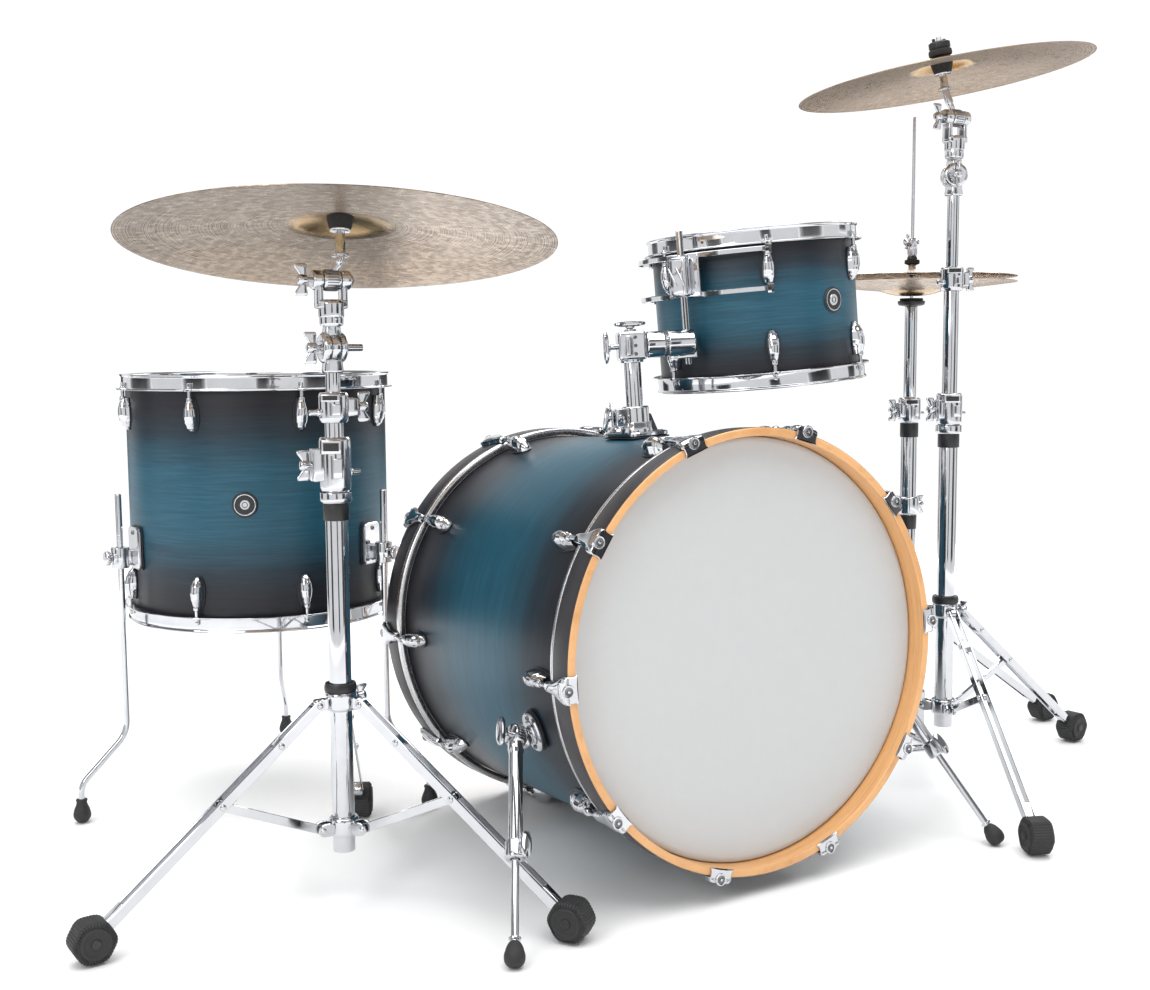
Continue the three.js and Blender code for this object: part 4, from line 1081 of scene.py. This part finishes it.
# ---- hi-hat ------------------------------------------------------------------------
hat = WORLD @ move(*HAT["at"], 0)
tube, seat_z, pedal = HAT["tube"], HAT["z"] - 31, spin(HAT["pedal_az"])
pin = tube + 20
p = Piece(hat)
p.turned(sleeve(tube, 7.2, 62, 584), CHROME, None, 44, 0.6)
p.turned(sleeve(11, 7.2, 598, seat_z - 12), CHROME, None, 40, 0.5)
p.turned(sleeve(tube + 2, 7.2, 556, 581), NYLON, None, 44, 0.8)
p.done("hihat_tubes", "kit", "hihat_column")
p = Piece(hat)
memory_clamp(p, 582, 626, tube + 5.8, 7.2, 180)
p.turned(off(tube, 0, (3, 418), (5, 421), (5, 447), (3, 450), (-0.4, 450), (-0.4, 418)), CAST, None, 44, 1.2)
wing(p, aim((tube + 4, 0, 434), X, Z), 9, 16, 0.9)
p.turned(off(tube, 0, (1.2, 392), (1.6, 417), (-0.4, 417), (-0.4, 392)), NYLON, None, 44, 0.8)
p.turned(off(tube, 0, (4.6, 218), (7, 222), (7, 250), (4.6, 256), (-0.4, 256), (-0.4, 218)), CAST, None, 44,
    1.2)
for az in HAT["leg_az"]:
    p.plate(stadium(28, 15.6, -20), -4.4, 4.4, CAST, spin(az) @ move(x=pin, z=236) @ spin(90, "X"), 1.0)
p.done("hihat_clamps", "kit", "hihat_column")
p = Piece(hat)
p.turned(off(0, seat_z, (15, -13.6), (22, -12), (23.6, -8), (23.6, -4.6), (7.2, -4.6), (7.2, -13.6)), NYLON,
    None, 44, 1.2)
p.turned(off(0, seat_z, (7.2, -4.4), (20, -4.4), (20, -0.1), (7.2, -0.1)), "felt", None, 44, 1.2)
p.done("hihat_seat", "kit", "hihat_column", slot="black_plastic")
p = Piece(hat @ pedal)
for x in (34, -34):
    p.block((7.6, 15.4, 90), CAST, move(0, x, 50), 2.2)
    p.turned([(0, 0), (7, 0), (7, 3), (0, 4)], CHROME, aim((0, x * 1.1, 86), (0, x, 0)), 26, 0.8)
p.block((23, 75, 17), CAST, move(z=87), 3.4)
for x in (34, -34):
    p.plate(stadium(289, 7.8, -54.5), 1.2, 6.8, CHROME, move(0, x, 0), 0.8)
p.block((15.6, 75, 5.6), CAST, move(228, 0, 4), 1.6)
p.block((15.6, 75, 5.6), CAST, move(-48, 0, 4), 1.6)
for x in (-26, 26):
    screw(p, move(228, x, 6), 3.4)
    screw(p, move(-48, x, 6), 3.4)
p.done("hihat_pedal_frame", "kit", "hihat_column")

hat_top, hat_foot = (pin, 236), (HAT["reach"] - 20, 24)
for k, az in enumerate(HAT["leg_az"], 1):
    tripod_leg(hat @ spin(az), hat_top, hat_foot, f"hihat_tripod_leg_{k}", f"hihat_leg_{k}", f"hihat_leg_{k}")

board = hat @ pedal @ spin(180) @ move(-214, 0, 22) @ spin(-10, "Y")
p = Piece(board)
sole = [(3, -20), (60, -25), (140, -26), (190, -21), (195, -12), (195, 12), (190, 21), (140, 26), (60, 25),
    (3, 20)]
p.plate(soft(sole, 8, 4, True), 0.6, 4.0, CAST, None, 0.8)
for k in range(9):
    p.block((3.0, 36 - abs(k - 4), 1.6), CHROME, move(30 + 18 * k, 0, 4.2), 0.6)
for y in (-22.4, 22.4):
    p.block((150, 2.6, 3.0), CHROME, move(102, y, 4.2), 0.8)
p.turned(solid(6.8, -25.6, 25.6), CHROME, aim((0, 0, 0), Y), 28, 1.0)
p.done("hihat_footboard_plate", "hihat_pedal", "hihat_footboard")

rim = HAT["z"] + 5
clutch = rim + 22
p = Piece(hat)
p.tube([(0, 0, 72), (0, 0, HAT["top"] - 0.4)], 2.9, CHROME, None, 18)
dome(p, move(z=HAT["top"] - 0.8), 2.9, 0.8)
p.turned(solid(5.4, 64, 74), CHROME, None, 24, 0.8)
p.turned(off(0, clutch, (0, 15), (7.4, 15), (8, 18), (8, 34), (6.4, 47), (0, 48)), CAST, None, 32, 1.0)
for k in range(14):
    p.block((1.2, 1.4, 12), CHROME, spin(360 * k / 14) @ move(x=7.9, z=clutch + 25), 0.3)
wing(p, aim((-3, 0, clutch + 36), (-1, -0.3, 0.25), Z), 12, 13, 0.62)
p.turned([(0, 0), (4, 0), (4, 7), (0, 8)], CHROME, aim((6, 0, clutch + 40), X), 20, 0.7)
p.turned(solid(8.6, clutch - 20, clutch - 12), CHROME, None, 28, 0.8)
p.done("hihat_rod_clutch", "hihat_rod", "hihat_pull_rod")
p = Piece(hat)
p.turned(off(0, clutch, (3.2, 1.2), (13, 1.2), (13, 8.8), (3.2, 8.8)), "felt", None, 36, 2.0)
p.turned(off(0, clutch, (3.2, 9), (8.6, 9), (9, 11), (7.6, 14.8), (3.2, 14.8)), NYLON, None, 32, 0.8)
p.done("hihat_clutch_felt", "hihat_rod", "hihat_pull_rod", slot="felt")
shape = dict(r=HAT["r"], bell=HAT["bell"], rise=22)
p = Piece(hat @ move(z=rim))
cymbal_shape(p, shape, "bronze_hat")
p.done("hihat_top_disc", "hihat_rod", "hihat_top_cymbal", slot="bronze")
p = Piece(hat @ move(z=HAT["z"] - 5) @ spin(180, "X"))
cymbal_shape(p, shape, "bronze_hat")
p.done("hihat_bottom_disc", "kit", "hihat_bottom_cymbal", slot="bronze")

# ---- stage: camera, floor, light ---------------------------------------------------
# Angles in radians, places in metres: fitted to the photo's drums.
CAMERA = dict(at=(-1.19923, -1.89638, 0.71210), turn=0.5273, dip=0.1028, roll=-0.0069, sensor=36.0, lens=43.74)
FLOOR_R = 3.1
SKY_WHITE_BELOW, SKY_GREY_ABOVE, SKY_STRENGTH = 0.27, 0.50, 1.05
SOFTBOXES = (  # name, place, what it faces, width, height, watts
    ("overhead", (-0.2, -0.2, 3.7), (0, 0, 0.2), 5.6, 5.0, 290),
    ("key_left", (-3.4, -1.7, 2.5), (0, 0, 0.4), 1.5, 1.8, 42),
    ("back_right", (2.9, 2.4, 2.6), (0, 0, 0.4), 1.6, 1.6, 50),
)
CARDS = (  # direction in degrees, distance, width, height
    (-166, 4.2, 1.5, 2.1), (-110, 4.4, 1.0, 2.0), (-60, 4.2, 2.3, 2.3), (-12, 4.6, 1.3, 1.8),
    (46, 4.4, 3.0, 1.9), (98, 4.6, 1.7, 1.7), (140, 4.4, 2.5, 2.1),
)
scene.view_settings.view_transform = "Standard"
camera = bpy.data.objects.new("camera", bpy.data.cameras.new("camera"))
scene.collection.objects.link(camera)
camera.data.sensor_width, camera.data.lens = CAMERA["sensor"], CAMERA["lens"]
turn, dip = CAMERA["turn"], CAMERA["dip"]
look = Vector((math.sin(turn) * math.cos(dip), math.cos(turn) * math.cos(dip), -math.sin(dip)))
view = look.to_track_quat("-Z", "Y").to_matrix().to_4x4() @ Matrix.Rotation(CAMERA["roll"], 4, "Z")
view.translation = CAMERA["at"]
camera.matrix_world = view
camera.data.clip_start, camera.data.clip_end = 0.05, 60
scene.camera = camera

paint = Nodes("floor_paint", Roughness=0.75)
paint.feed("Base Color", paint.ramp(paint.noise(paint.scaled(paint.place, (3, 3, 3))),
    [(0.3, 0.93), (0.7, 0.95)]))
# The rim glows a little, so that no edge shows against the white around it.
reach = paint.add("VectorMath", {0: paint.place}, operation="LENGTH").outputs["Value"]
paint.feed("Emission Strength", paint.ramp(paint.math("DIVIDE", reach, FLOOR_R), [(0.72, 0.0), (0.97, 1.0)],
    "EASE"))
floor_mesh = bpy.data.meshes.new("floor")
ring = [polar(FLOOR_R, 360 * k / 96) for k in range(96)]
floor_mesh.from_pydata(ring, [], [list(range(96))])
floor_mesh.materials.append(paint.material)
floor = bpy.data.objects.new("floor", floor_mesh)
scene.collection.objects.link(floor)

world = bpy.data.worlds.new("studio")
scene.world = world
world.use_nodes = True
tree = world.node_tree
sky = tree.nodes.new("ShaderNodeTexCoord")
height = tree.nodes.new("ShaderNodeSeparateXYZ")
fade = tree.nodes.new("ShaderNodeValToRGB")
tree.links.new(sky.outputs["Generated"], height.inputs[0])
tree.links.new(height.outputs["Z"], fade.inputs["Fac"])
tree.links.new(fade.outputs["Color"], tree.nodes["Background"].inputs["Color"])
low, high = fade.color_ramp.elements
low.position, low.color = SKY_WHITE_BELOW, (1, 1, 1, 1)
high.position, high.color = SKY_GREY_ABOVE, (0.22, 0.225, 0.23, 1)
tree.nodes["Background"].inputs["Strength"].default_value = SKY_STRENGTH

for name, at, target, width, high, watts in SOFTBOXES:
    light = bpy.data.lights.new(name, "AREA")
    light.shape, light.size, light.size_y, light.energy = "RECTANGLE", width, high, watts
    obj = bpy.data.objects.new(name, light)
    scene.collection.objects.link(obj)
    obj.location = at
    obj.rotation_mode = "QUATERNION"
    obj.rotation_quaternion = (Vector(target) - Vector(at)).to_track_quat("-Z", "Y")

# Soft-edged dark cards that only reflections see, so that plated metal has something to show.
card_paint = Nodes("card_paint", Roughness=1.0)
across = card_paint.add("SeparateXYZ", {0: card_paint.place}).outputs
edge = card_paint.math("ABSOLUTE", across["X"])
shade = card_paint.ramp(edge, [(0.0, 0.012), (0.55, 0.030), (0.78, 0.22), (1.0, 0.92)], "EASE")
rise_shade = card_paint.ramp(across["Y"], [(0.0, 0.0), (0.8, 0.10), (1.0, 1.0)], "EASE")
card_paint.feed("Base Color", card_paint.mix(rise_shade, shade, (0.92, 0.92, 0.92)))
for k, (az, far, width, high) in enumerate(CARDS):
    mesh = bpy.data.meshes.new(f"card_{k}")
    mesh.from_pydata([(-1, 0, 0), (1, 0, 0), (1, 1, 0), (-1, 1, 0)], [], [(0, 1, 2, 3)])
    mesh.materials.append(card_paint.material)
    card = bpy.data.objects.new(f"card_{k}", mesh)
    scene.collection.objects.link(card)
    card.matrix_world = spin(az) @ move(x=far) @ spin(90) @ spin(90,
        "X") @ Matrix.Diagonal((width / 2, high, 1, 1))
    card.visible_camera = card.visible_diffuse = card.visible_shadow = False
